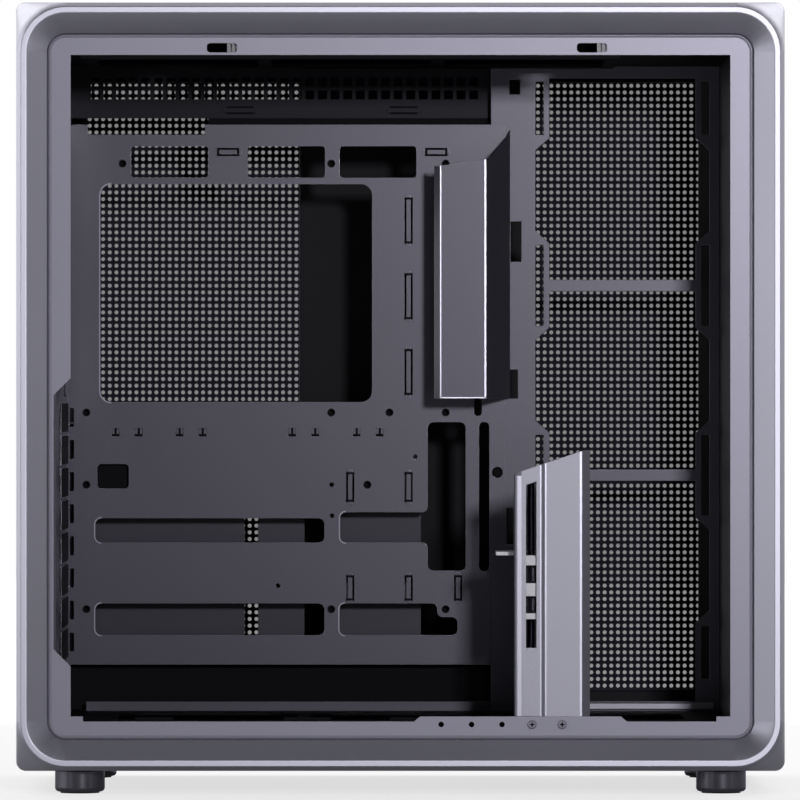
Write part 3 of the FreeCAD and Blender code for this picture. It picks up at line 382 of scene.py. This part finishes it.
def bar(bm, first, second):
    """A closed bar between two outlines of as many points, given in X, Y and Z."""
    ends = [[bm.verts.new(point) for point in outline] for outline in (first, second)]
    for k in range(len(first)):
        m = (k + 1) % len(first)
        bm.faces.new((ends[0][k], ends[0][m], ends[1][m], ends[1][k]))
    for end in ends:
        bm.faces.new(end)


# Right-hand panel: the folded pan with two large openings, each holding a finely perforated sheet.
HOLE_PITCH = 4.29 * MM
HOLE_RADIUS = 1.35 * MM
PANEL_SHEET = 1.2 * MM
PANEL_CORNER = 6 * MM
MESH_GAP = 0.05 * MM
MESH_FACES = (1.0 * MM, 0.1 * MM)
panel_low, panel_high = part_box("right_side_panel")
fields = []
for name in ("side_filter_rear", "side_filter_front"):
    low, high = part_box(name)
    columns = int((high.x - low.x) / HOLE_PITCH)
    rows = int((high.z - low.z) / HOLE_PITCH)
    middle = (low + high) / 2
    fields.append((middle.x, middle.z, columns, rows))


def field_loop(field, grow):
    x, z, columns, rows = field
    half_x = columns * HOLE_PITCH / 2 + grow
    half_z = rows * HOLE_PITCH / 2 + grow
    return [(x - half_x, z - half_z), (x + half_x, z - half_z),
            (x + half_x, z + half_z), (x - half_x, z + half_z)]


def panel_loop(inset):
    return rounded_loop(panel_low.x + inset, panel_high.x - inset, panel_low.z + inset, panel_high.z - inset,
                        PANEL_CORNER - inset)


bm = bmesh.new()
outer = panel_loop(0.0)
inner = panel_loop(PANEL_SHEET)
holes = [field_loop(field, MESH_GAP) for field in fields]
plate_y = panel_high.y - PANEL_SHEET
fill(bm, [outer, *holes], panel_high.y)
fill(bm, [inner, *holes], plate_y)
fill(bm, [outer, inner], panel_low.y)
wall(bm, outer, panel_low.y, panel_high.y)
wall(bm, inner, panel_low.y, plate_y)
for hole in holes:
    wall(bm, hole, plate_y, panel_high.y)
add_piece("right_panel_shell", bm, panel_paint, replaced=["right_side_panel"])


def perforated(field, y0, y1):
    """A sheet with a square grid of round holes."""
    x, z, columns, rows = field
    bm = bmesh.new()
    left = x - columns * HOLE_PITCH / 2
    low = z - rows * HOLE_PITCH / 2
    corners = {}
    for side, y in enumerate((y0, y1)):
        for i in range(columns + 1):
            for j in range(rows + 1):
                corners[side, i, j] = bm.verts.new((left + i * HOLE_PITCH, y, low + j * HOLE_PITCH))
    angles = [math.radians(22.5 + 45 * k) for k in range(8)]
    ring = [(HOLE_RADIUS * math.cos(a), HOLE_RADIUS * math.sin(a)) for a in angles]
    for i in range(columns):
        for j in range(rows):
            centre_x = left + (i + 0.5) * HOLE_PITCH
            centre_z = low + (j + 0.5) * HOLE_PITCH
            rims = []
            for side, y in enumerate((y0, y1)):
                rim = [bm.verts.new((centre_x + dx, y, centre_z + dz)) for dx, dz in ring]
                rims.append(rim)
                square = [corners[side, i + 1, j + 1], corners[side, i, j + 1],
                          corners[side, i, j], corners[side, i + 1, j]]
                for k in range(4):
                    bm.faces.new((square[k], rim[2 * k], rim[2 * k + 1]))
                    following = rim[(2 * k + 2) % 8]
                    bm.faces.new((square[k], rim[2 * k + 1], following, square[(k + 1) % 4]))
            for k in range(8):
                m = (k + 1) % 8
                bm.faces.new((rims[0][k], rims[0][m], rims[1][m], rims[1][k]))
    for i in range(columns):
        for j in (0, rows):
            bm.faces.new((corners[0, i, j], corners[0, i + 1, j], corners[1, i + 1, j], corners[1, i, j]))
    for j in range(rows):
        for i in (0, columns):
            bm.faces.new((corners[0, i, j], corners[0, i, j + 1], corners[1, i, j + 1], corners[1, i, j]))
    return bm


for field, name in zip(fields, ("panel_mesh_rear", "panel_mesh_front")):
    back, front = (panel_high.y - depth for depth in MESH_FACES)
    add_piece(name, perforated(field, back, front), mesh_paint)


def cross_loop(x, z, reach, half):
    corners = []
    for turn in range(4):
        for across, up in ((reach, -half), (reach, half), (half, half)):
            for _ in range(turn):
                across, up = -up, across
            corners.append((x + across, z + up))
    return corners


SHANK_RADIUS = 1.5 * MM
RECESS_REACH, RECESS_HALF, RECESS_DEPTH = 0.5, 0.15, 0.55


def screw(bm, x, z, head_y, seat_y, tip_y, head, rim):
    """A screw along Y with a rounded head and a cross recess, which is sized as a share of the head."""
    crown = circle(x, z, head - rim)
    shoulder = circle(x, z, head)
    stem = circle(x, z, SHANK_RADIUS)
    recess = cross_loop(x, z, head * RECESS_REACH, head * RECESS_HALF)
    recess_y = head_y + (seat_y - head_y) * RECESS_DEPTH
    fill(bm, [crown, recess], head_y)
    band(bm, crown, head_y, shoulder, head_y + rim)
    wall(bm, shoulder, head_y + rim, seat_y)
    fill(bm, [shoulder, stem], seat_y)
    wall(bm, stem, seat_y, tip_y)
    fill(bm, [stem], tip_y)
    # The recess faces below take the second material, which paints the shade in the hollow.
    plain = set(bm.faces)
    wall(bm, recess, head_y, recess_y)
    fill(bm, [recess], recess_y)
    for face in set(bm.faces) - plain:
        face.material_index = 1


# Screws with a cross recess at the holder's foot and on the slot covers, in even rows along their nodes.
for name, node, count, head_radius, head_height, rim_width, finish in (
    ("holder_foot_screws", "holder_screws", 2, 2.8, 1.8, 0.8, screw_paint),
    ("slot_cover_screws", "slot_screws", 8, 3.4, 2.2, 1.0, dark_steel),
):
    low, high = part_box(node)
    head = head_radius * MM
    bm = bmesh.new()
    for k in range(count):
        share = k / (count - 1)
        x = low.x + head + (high.x - low.x - 2 * head) * share
        z = low.z + head + (high.z - low.z - 2 * head) * share
        screw(bm, x, z, low.y, low.y + head_height * MM, high.y, head, rim_width * MM)
    screws = add_piece(name, bm, finish, replaced=[node])
    # Black for the cross recesses: painted shade.
    screws.data.materials.append(black_and_shade_paint)


def knurled(name, node, bore, edge, teeth=30, rows=9, depth=0.4 * MM):
    """A thumb nut with a diamond knurl between two chamfers."""
    low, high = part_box(node)
    x, y = (low.x + high.x) / 2, (low.y + high.y) / 2
    radius = (high.x - low.x) / 2
    bm = bmesh.new()
    around = 2 * teeth

    def ring(z, radii):
        spots = []
        for k, r in enumerate(radii):
            angle = math.tau * k / around
            spots.append(bm.verts.new((x + r * math.cos(angle), y + r * math.sin(angle), z)))
        return spots

    rings = [ring(low.z, [bore] * around), ring(low.z, [radius - edge] * around)]
    for row in range(rows):
        z = low.z + edge + (high.z - low.z - 2 * edge) * row / (rows - 1)
        rings.append(ring(z, [radius if (k + row) % 2 else radius - depth for k in range(around)]))
    rings += [ring(high.z, [radius - edge] * around), ring(high.z, [bore] * around)]
    for first, second in zip(rings, rings[1:] + rings[:1]):
        for k in range(around):
            m = (k + 1) % around
            bm.faces.new((first[k], first[m], second[m], second[k]))
    add_piece(name, bm, dark_steel, "arm", [node])


NUT_BORE = 2.8 * MM
NUT_EDGE = 0.8 * MM
knurled("thumb_nut_lower", "arm_nut_lower", NUT_BORE, NUT_EDGE)
knurled("thumb_nut_upper", "arm_nut_upper", NUT_BORE, NUT_EDGE)


def threaded(name, node, pitch, depth, around=20):
    """A rod with a helical thread along its whole length."""
    low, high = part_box(node)
    x, y = (low.x + high.x) / 2, (low.y + high.y) / 2
    radius = (high.x - low.x) / 2
    half = pitch / 2
    last = int((high.z - low.z) / half) - 2
    bm = bmesh.new()
    rings = []
    for k in range(last + 1):
        r = radius - (depth if k % 2 else 0)
        rings.append([
            bm.verts.new((x + r * math.cos(math.tau * a / around), y + r * math.sin(math.tau * a / around),
                          low.z + half * (k + 2 * a / around)))
            for a in range(around)
        ])
    for k in range(last):
        for a in range(around - 1):
            bm.faces.new((rings[k][a], rings[k][a + 1], rings[k + 1][a + 1], rings[k + 1][a]))
        if k + 3 <= last:
            bm.faces.new((rings[k][-1], rings[k + 2][0], rings[k + 3][0], rings[k + 1][-1]))
    bm.faces.new([*rings[0], rings[2][0], rings[1][0]])
    bm.faces.new([*rings[last], rings[last - 1][-1], rings[last - 2][-1]])
    add_piece(name, bm, dark_steel, replaced=[node])


threaded("holder_thread", "holder_rod", pitch=0.8 * MM, depth=0.4 * MM)

# Rolled rim of the flange, and a darker bead between it and the frame that paints the shade in the gap there.
frame_low, frame_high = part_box("side_frame")
FLANGE_INSET = 19.6 * MM
FLANGE_CORNER = 11.6 * MM
BEAD_STEPS = 6
flange_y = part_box("inner_flange")[0].y


def ring_bead(name, inset, width, height, finish):
    """A half-round bead along the flange, inset from the frame's inner edge."""
    bm = bmesh.new()
    loops = []
    for k in range(BEAD_STEPS + 1):
        shift = inset + width * k / BEAD_STEPS
        rise = height * math.sin(math.pi * k / BEAD_STEPS)
        inner = FLANGE_INSET + shift
        loops.append((rounded_loop(
            frame_low.x + inner, frame_high.x - inner, frame_low.z + inner, frame_high.z - inner,
            FLANGE_CORNER - shift, 10,
        ), flange_y - rise))
    for (first, y0), (second, y1) in zip(loops, loops[1:] + loops[:1]):
        band(bm, first, y0, second, y1)
    add_piece(name, bm, finish)


ring_bead("flange_gap_shade", 0.05 * MM, 1.1 * MM, 0.7 * MM, gap_shade_paint)
ring_bead("flange_rim", 1.4 * MM, 1.3 * MM, 0.45 * MM, paint)

# Places on the tray are given in millimetres across and up from the first corner of the board's hole pattern.
BOARD_INSET = (12.27, 24.6)
TRAY_SHEET = 1.2 * MM
tray_low, tray_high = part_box("motherboard_tray")
board_x = tray_low.x + BOARD_INSET[0] * MM
board_z = tray_high.z - BOARD_INSET[1] * MM
tray_back = tray_high.y
tray_front = tray_back - TRAY_SHEET


def on_board(across, up):
    """A place on the tray in millimetres of the frame."""
    return board_x / MM + across, board_z / MM + up


# Shallow dish that closes the small square cut-out of the tray; its black paints the shade inside the
# cut-out.
DISH_PLACE, DISH_SIZE, DISH_CORNER = (6.9, -205.6), (19.9, 15.5), 2.5 * MM
DISH_WALL, DISH_DEPTH = 0.8 * MM, 5 * MM
left, bottom = (place * MM for place in on_board(*DISH_PLACE))
right, top = left + DISH_SIZE[0] * MM, bottom + DISH_SIZE[1] * MM
inner = rounded_loop(left, right, bottom, top, DISH_CORNER)
outer = rounded_loop(left - DISH_WALL, right + DISH_WALL, bottom - DISH_WALL, top + DISH_WALL,
                     DISH_CORNER + DISH_WALL)
dish_floor = tray_back + DISH_DEPTH
bm = bmesh.new()
fill(bm, [outer, inner], tray_back)
wall(bm, inner, tray_back, dish_floor)
fill(bm, [inner], dish_floor)
wall(bm, outer, tray_back, dish_floor + DISH_WALL)
fill(bm, [outer], dish_floor + DISH_WALL)
add_piece("tray_shade_dish", bm, black_and_shade_paint)

# Black plug in the round hole beside the long slot, which paints the shade seen in that hole.
PLUG_PLACE, PLUG_RADIUS, PLUG_EDGE = (260.1, -195.4), 3.45 * MM, 1 * MM
plug_rim_y, plug_crown_y = tray_front + 0.1 * MM, tray_front + 0.6 * MM
plug_x, plug_z = (place * MM for place in on_board(*PLUG_PLACE))
rim = circle(plug_x, plug_z, PLUG_RADIUS)
crown = circle(plug_x, plug_z, PLUG_RADIUS - PLUG_EDGE)
bm = bmesh.new()
fill(bm, [crown], plug_crown_y)
band(bm, crown, plug_crown_y, rim, plug_rim_y)
wall(bm, rim, plug_rim_y, tray_back)
fill(bm, [rim], tray_back)
add_piece("tray_hole_shade", bm, black_and_shade_paint)

# Threaded stand-offs in the board holes: a collar in front of the tray and a closed tube behind it, in black,
# which paints the shade of the holes.
BOARD_HOLES = (
    (22.86, 0.0), (154.94, 0.0), (227.33, 0.0),
    (0.0, -157.48), (154.94, -157.48), (191.77, -157.48), (227.33, -157.48),
    (0.0, -203.2), (177.8, -203.2), (0.0, -281.94), (154.94, -281.94), (227.33, -281.94),
)
STANDOFF_RADII = (1.9, 2.5, 3.0)
collar_near, collar_far = tray_front - 0.1 * MM, tray_front + 0.2 * MM
bore_end, tube_end = tray_back + 4 * MM, tray_back + 5 * MM
bm = bmesh.new()
for hole in BOARD_HOLES:
    x, z = (place * MM for place in on_board(*hole))
    bore, collar, tube = (circle(x, z, radius * MM) for radius in STANDOFF_RADII)
    fill(bm, [collar, bore], collar_near)
    wall(bm, collar, collar_near, collar_far)
    fill(bm, [collar, bore], collar_far)
    wall(bm, bore, collar_near, collar_far)
    fill(bm, [tube, bore], tray_back)
    wall(bm, bore, tray_back, bore_end)
    fill(bm, [bore], bore_end)
    wall(bm, tube, tray_back, tube_end)
    fill(bm, [tube], tube_end)
add_piece("tray_standoffs", bm, black_and_shade_paint)

# Lanced tongues in the small square holes, two at each hole's sides, before a dark back plate that paints the
# shade seen through the holes.
LANCE_PAIRS = (25.7, 66.2, 137.4, 178.2)
LANCE_SIDES = (-9.8, 4.8)
LANCE_FOOT = -172.7
LANCE_BACK = 0.8 * MM
LANCE_PLATE = (-0.5, 5.5, -0.5, 5.9)
TONGUES = ((0.2, 1.9, 1.6, 5.2), (3.3, 4.8, 1.6, 5.2))
backs, tongues = bmesh.new(), bmesh.new()
for pair in LANCE_PAIRS:
    for side in LANCE_SIDES:
        x, z = on_board(pair + side, LANCE_FOOT)
        left, right, low, high = LANCE_PLATE
        prism(backs, upright(x + left, x + right, z + low, z + high), tray_back, tray_back + LANCE_BACK)
        for left, right, low, high in TONGUES:
            prism(tongues, upright(x + left, x + right, z + low, z + high), tray_front, tray_back)
add_piece("tray_lance_shade_plates", backs, black_and_shade_paint)
add_piece("tray_tongues", tongues, tray_paint)

# Bright edge strips, which paint highlights along the edges of faces, lie this far before and into the face
# that they edge.
EDGE_OUT, EDGE_IN = 0.1 * MM, 0.3 * MM

# Painted highlights along the edges of the hood's face, as bright strips, in millimetres from its lowest
# corner: left, right, foot, top at the left and top at the right.
HOOD_HIGHLIGHTS = (
    (3.73, 4.43, 0.3, 145.9, 146.0),
    (31.53, 32.63, 0.3, 149.8, 150.0),
    (3.73, 32.63, 0.1, 0.8, 0.8),
)
hood_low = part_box("cable_cover")[0]
hood_x, hood_z = hood_low.x / MM, hood_low.z / MM
bm = bmesh.new()
for left, right, foot, top_left, top_right in HOOD_HIGHLIGHTS:
    outline = upright(hood_x + left, hood_x + right, hood_z + foot, hood_z + top_left, hood_z + top_right)
    prism(bm, outline, hood_low.y - EDGE_OUT, hood_low.y + EDGE_IN)
add_piece("hood_painted_highlights", bm, painted_edge_highlight)

# Painted highlights along the edges of the card holder's face, as bright strips: place across, width, and how
# far behind the front they lie.
HOLDER_HIGHLIGHTS = ((15.7, 0.7, 2.8), (18.8, 0.8, 0.0), (40.0, 1.2, 0.0))
HOLDER_FOOT, EDGE_START = 11.5, 0.3
HOLDER_SLOPE, SLOPE_START, SLOPE_DROP = 0.3357, 5.0, 12.9
holder_low, holder_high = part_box("gpu_holder")
holder_x, holder_top = holder_low.x / MM, holder_high.z / MM
holder_foot = holder_low.z / MM + HOLDER_FOOT
bm = bmesh.new()
for left, width, depth in HOLDER_HIGHLIGHTS:
    right = left + width
    tops = [holder_top - SLOPE_DROP + HOLDER_SLOPE * (across - SLOPE_START) for across in (left, right)]
    front = holder_low.y + depth * MM
    outline = upright(holder_x + left, holder_x + right, holder_foot + EDGE_START, *tops)
    prism(bm, outline, front - EDGE_OUT, front + EDGE_IN)
add_piece("holder_painted_highlights", bm, painted_edge_highlight)

# Rolled lip down the left side of the card holder, as its section in X and Y, in a lighter copy of the holder
# paint that paints part of its highlight.
LIP_SECTION = ((0.1, 7.4), (0.1, 4.2), (0.7, 3.0), (1.8, 2.45), (4.4, 2.75))
LIP_START, LIP_STOP = 0.2, 15.6
lip_ends = [
    [((holder_x + x) * MM, holder_low.y + y * MM, z * MM) for x, y in LIP_SECTION]
    for z in (holder_foot + LIP_START, holder_top - LIP_STOP)
]
bm = bmesh.new()
bar(bm, *lip_ends)
add_piece("holder_lip", bm, lip_highlight_paint)

# Crescents of the lighter case paint at the left ends of the tray's cut-outs, which paint the highlight on
# their rounded edges: place across, foot, top and corner of each.
CUT_OUT_ENDS = (
    (5.6, -239.8, -224.4, 4.0), (5.6, -298.4, -278.3, 4.0), (8.8, -150.9, -13.0, 7.0),
    (160.5, -239.8, -220.6, 3.6), (160.1, -298.4, -278.3, 3.6),
)
HIGHLIGHT_WIDTH, HIGHLIGHT_STEPS = 0.8, 6
highlight_near, highlight_far = tray_front - 0.12 * MM, tray_front + 0.3 * MM
bm = bmesh.new()
for across, low, high, radius in CUT_OUT_ENDS:
    inside, outside = [], []
    for quarter, up in enumerate((high - radius, low + radius)):
        x, z = on_board(across + radius, up)
        for step in range(HIGHLIGHT_STEPS + 1):
            angle = math.pi / 2 * (1 + quarter + step / HIGHLIGHT_STEPS)
            for path, reach in ((inside, radius), (outside, radius + HIGHLIGHT_WIDTH)):
                path.append(((x + reach * math.cos(angle)) * MM, (z + reach * math.sin(angle)) * MM))
    prism(bm, outside + inside[::-1], highlight_near, highlight_far)
add_piece("tray_cut_out_highlights", bm, paint)

# Black blocks at the ends of the tie loops, which paint the shade in the slits there: place and length of
# each upright and each level one.
UPRIGHT_LOOPS = (
    (201.3, -50.2, 28.3), (201.3, -98.1, 28.3), (201.3, -146.0, 28.3), (164.3, -213.6, 18.0),
    (201.3, -213.6, 18.0), (164.3, -276.1, 15.3), (201.3, -276.1, 15.3), (232.6, -276.1, 15.3),
)
LEVEL_LOOPS = ((83.1, 4.7, 13.2), (214.8, 4.7, 13.2))
LOOP_WIDTH, LOOP_END, LOOP_OVERLAP = 5.2, 1.4, 0.4
loop_front = tray_low.y - 0.1 * MM


def loop_ends(start, length):
    """Where the painted shade at the ends of a loop starts, each block standing out past the loop a little.
    """
    return start - LOOP_OVERLAP, start + length - LOOP_END + LOOP_OVERLAP


ends = []
for across, up, length in UPRIGHT_LOOPS:
    ends += [(across, end, LOOP_WIDTH, LOOP_END) for end in loop_ends(up, length)]
for across, up, length in LEVEL_LOOPS:
    ends += [(end, up, LOOP_END, LOOP_WIDTH) for end in loop_ends(across, length)]
bm = bmesh.new()
for across, up, width, height in ends:
    x, z = on_board(across, up)
    prism(bm, upright(x, x + width, z, z + height), loop_front, tray_back)
add_piece("tray_loop_end_shade", bm, black_and_shade_paint)

# Flat foot strip of the fan bracket, as its section in Y and Z, from behind the card holder to the front. It
# takes the lighter holder paint, which paints the highlight along the bracket's foot.
FOOT_SECTION = ((0.2, 0.8), (-1.4, 1.0), (-2.0, 1.6), (-2.0, 4.8), (-1.4, 5.4), (0.2, 5.6))
FOOT_START, FOOT_STOP = 34.83 * MM, 4 * MM
bracket_low, bracket_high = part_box("fan_bracket")
foot_ends = [
    [(x, bracket_low.y + y * MM, bracket_low.z + z * MM) for y, z in FOOT_SECTION]
    for x in (bracket_low.x + FOOT_START, bracket_high.x - FOOT_STOP)
]
bm = bmesh.new()
bar(bm, *foot_ends)
add_piece("bracket_foot", bm, holder_paint)

# Black backing of the vent strip, which closes the gap over the tray and paints the shade in that gap.
BACKING_START, BACKING_STOP, BACKING_DROP, BACKING_RISE = 76.73, 6.17, 8.0, 10.0
BACKING_SHEET = 1.0 * MM
strip_low, strip_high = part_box("upper_vent_strip")
strip_z = strip_low.z / MM
backing_left = on_board(BACKING_START, 0.0)[0]
backing_right = strip_high.x / MM - BACKING_STOP
outline = upright(backing_left, backing_right, strip_z - BACKING_DROP, strip_z + BACKING_RISE)
bm = bmesh.new()
prism(bm, outline, strip_high.y, strip_high.y + BACKING_SHEET)
add_piece("strip_shade_backing", bm, black_and_shade_paint)

# Sills at the back that close the space between the chassis and the outer covers, each end let in a little.
COVER_WALL, SILL_SHEET, LET_IN = 2.0, 1.0, 0.1
floor_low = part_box("chassis_floor")[0]
roof_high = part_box("chassis_roof")[1]
cover_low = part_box("bottom_cover")[0]
cover_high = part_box("top_cover")[1]
sill_left = floor_low.x / MM
bm = bmesh.new()
for low, high in (
    (cover_low.z / MM + COVER_WALL, floor_low.z / MM),
    (roof_high.z / MM, cover_high.z / MM - COVER_WALL),
):
    outline = upright(sill_left, sill_left + SILL_SHEET, low - LET_IN, high + LET_IN)
    prism(bm, outline, cover_low.y + COVER_WALL * MM, cover_high.y - COVER_WALL * MM)
add_piece("rear_sills", bm, tray_paint)

# Moulded frame round the dust filter under the top vents: two end bars with two long bars let in between.
FRAME_OUT, FRAME_IN, FRAME_RISE, FRAME_GAP = 6.0, 4.0, 0.6, 0.05
top_low, top_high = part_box("top_filter")
left, right = top_low.x / MM, top_high.x / MM
low, high = top_low.z / MM - FRAME_RISE, top_high.z / MM
bm = bmesh.new()
for bar_left, bar_right in ((left - FRAME_OUT, left + FRAME_IN), (right - FRAME_IN, right + FRAME_OUT)):
    outline = upright(bar_left, bar_right, low, high - FRAME_GAP)
    prism(bm, outline, top_low.y - FRAME_OUT * MM, top_high.y + FRAME_OUT * MM)
outline = upright(left + FRAME_IN - LET_IN, right - FRAME_IN + LET_IN, low + LET_IN, high - LET_IN)
for near, far in (
    (top_low.y - FRAME_OUT * MM, top_low.y + FRAME_IN * MM),
    (top_high.y - FRAME_IN * MM, top_high.y + FRAME_OUT * MM),
):
    prism(bm, outline, near + FRAME_GAP * MM, far - FRAME_GAP * MM)
add_piece("top_filter_frame", bm, black_plastic)

# Moulded grip along the front edge of the front dust filter.
GRIP_WIDTH, GRIP_RISE, GRIP_SIDE, GRIP_END = 8.0, 1.3, 0.4, 0.2
filter_low, filter_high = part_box("side_filter_front")
grip_right = filter_high.x / MM - GRIP_SIDE
grip_low, grip_high = filter_low.z / MM + GRIP_END, filter_high.z / MM - GRIP_END
outline = upright(grip_right - GRIP_WIDTH, grip_right, grip_low, grip_high)
bm = bmesh.new()
prism(bm, outline, filter_low.y - GRIP_RISE * MM, filter_low.y)
add_piece("filter_grip", bm, black_plastic)

# Black apron behind the bottom rail, from the floor to the foot of the tray, which paints the shade below the
# tray.
APRON_LAP, APRON_LIFT = 1.0, 0.6
rail_low, rail_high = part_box("bottom_rail")
apron_left, apron_right = tray_low.x / MM + APRON_LAP, rail_high.x / MM
outline = upright(apron_left, apron_right, rail_low.z / MM + APRON_LIFT, tray_low.z / MM + APRON_LAP)
bm = bmesh.new()
prism(bm, outline, rail_high.y, rail_high.y + TRAY_SHEET)
add_piece("rail_shade_apron", bm, black_and_shade_paint)

# Floor: pale, with a glow that makes it white further off. Reflections see the white only farther out.
FLOOR_REACH = 6
FLOOR_COLOUR = (0.42, 0.42, 0.42, 1)
FLOOR_GLOW, MIRROR_SHARE = 0.7, 0.05
WHITE_FROM, MIRROR_WHITE_FROM = (0.4, 1.3), (1.4, 2.6)
WHITE = (1, 1, 1, 1)
scene = bpy.context.scene
floor_mesh = bpy.data.meshes.new("floor")
floor_corners = [(FLOOR_REACH * x, FLOOR_REACH * y, 0) for x, y in ((-1, -1), (1, -1), (1, 1), (-1, 1))]
floor_mesh.from_pydata(floor_corners, [], [(0, 1, 2, 3)])
floor = bpy.data.objects.new("floor", floor_mesh)
scene.collection.objects.link(floor)
material = bpy.data.materials.new("floor")
material.use_nodes = True
tree = material.node_tree
shader = tree.nodes["Principled BSDF"]
shader.inputs["Base Color"].default_value = FLOOR_COLOUR
shader.inputs["Roughness"].default_value = 0.9
shader.inputs["Specular IOR Level"].default_value = 0.1
shader.inputs["Emission Color"].default_value = WHITE
reach = tree.nodes.new("ShaderNodeVectorMath")
reach.operation = "LENGTH"
tree.links.new(tree.nodes.new("ShaderNodeNewGeometry").outputs["Position"], reach.inputs[0])


def rays(tree):
    """Whether a ray is seen directly, through clear material too, and whether it is a reflection."""
    path = tree.nodes.new("ShaderNodeLightPath")
    direct = math_node(tree, "MAXIMUM", path.outputs["Is Camera Ray"], path.outputs["Is Transmission Ray"])
    return direct, path.outputs["Is Glossy Ray"]


def white_beyond(ray, distances):
    far = map_range(tree, reach.outputs["Value"], *distances, 0.0, 1.0).outputs["Result"]
    return math_node(tree, "MULTIPLY", ray, far)


direct, mirrored = rays(tree)
beyond = math_node(
    tree, "MAXIMUM", white_beyond(direct, WHITE_FROM), white_beyond(mirrored, MIRROR_WHITE_FROM),
)
near = math_node(tree, "MAXIMUM", direct, math_node(tree, "MULTIPLY", mirrored, MIRROR_SHARE))
near = math_node(tree, "MULTIPLY", near, FLOOR_GLOW)
tree.links.new(math_node(tree, "MAXIMUM", beyond, near), shader.inputs["Emission Strength"])
floor_mesh.materials.append(material)
floor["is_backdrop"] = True

# Room: where each part of it starts and is full, as a share of the direction towards it, and its brightness.
BEHIND = (0.1, 0.6, 0.6)
BACKDROP = (0.1, 0.5, 1.0)
CEILING = (0.5, 0.95, 0.05)
LEFT_WALL = (-0.8, -0.98, 2.7)
RIGHT_WALL = (0.5, 0.95, 0.2)
ROOM = 0.012
world = bpy.data.worlds.new("studio")
scene.world = world
world.use_nodes = True
tree = world.node_tree
background = tree.nodes["Background"]
direction = tree.nodes.new("ShaderNodeSeparateXYZ")
tree.links.new(tree.nodes.new("ShaderNodeTexCoord").outputs["Generated"], direction.inputs["Vector"])


def part_of_room(axis, start, full, bright):
    made = map_range(tree, direction.outputs[axis], start, full, 0.0, bright)
    made.interpolation_type = "SMOOTHSTEP"
    return made.outputs["Result"]


direct, mirrored = rays(tree)
sides = math_node(tree, "ADD", part_of_room("X", *LEFT_WALL), part_of_room("X", *RIGHT_WALL))
room = math_node(tree, "MAXIMUM", part_of_room("Y", *BEHIND), sides)
room = math_node(tree, "ADD", room, ROOM)
room = math_node(tree, "ADD", room, part_of_room("Z", *CEILING))
backdrop = math_node(tree, "MULTIPLY", mirrored, part_of_room("Y", *BACKDROP))
room = math_node(tree, "MAXIMUM", room, backdrop)
tree.links.new(math_node(tree, "MAXIMUM", room, direct), background.inputs["Strength"])
background.inputs["Color"].default_value = WHITE

# Lamps: name, place, what each is turned to, width, height and power.
MIDDLE, ROOF = (0, -0.1, 0.25), (0, 0, 0.3)
LAMPS = (
    ("key_light", (0.66, -3.5, 0.76), MIDDLE, 0.25, 0.25, 50),
    ("rim_light_1", (-1.2, 1.5, 1.5), ROOF, 1.0, 1.0, 8),
    ("rim_light_3", (1.2, 1.5, 1.5), ROOF, 1.0, 1.0, 8),
    ("fill_light", (-2.6, -2.8, 0.5), MIDDLE, 1.2, 1.2, 4),
    ("edge_light", (2.6, -2.2, 0.6), MIDDLE, 0.5, 1.0, 2.5),
    ("upper_light", (0.2, -2.0, 2.4), MIDDLE, 1.0, 0.5, 2.5),
)
for name, place, target, width, height, power in LAMPS:
    data = bpy.data.lights.new(name, "AREA")
    data.shape = "RECTANGLE"
    data.size = width
    data.size_y = height
    data.energy = power
    lamp = bpy.data.objects.new(name, data)
    scene.collection.objects.link(lamp)
    lamp.location = place
    lamp.rotation_mode = "QUATERNION"
    lamp.rotation_quaternion = (Vector(target) - Vector(place)).to_track_quat("-Z", "Y")
    lamp.visible_camera = False

# Camera at the photograph's place: far off, level, square to the open side.
CAMERA_PLACE = (-0.0003, -5.4425, 0.2413)
CAMERA_LENS = 390.4
camera_data = bpy.data.cameras.new("camera")
camera_data.lens = CAMERA_LENS
camera_data.sensor_width = 36
camera_data.clip_end = 100
camera = bpy.data.objects.new("camera", camera_data)
camera.location = CAMERA_PLACE
camera.rotation_euler = (math.pi / 2, 0, 0)
scene.collection.objects.link(camera)
scene.camera = camera
scene.view_settings.view_transform = "Standard"

low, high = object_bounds()
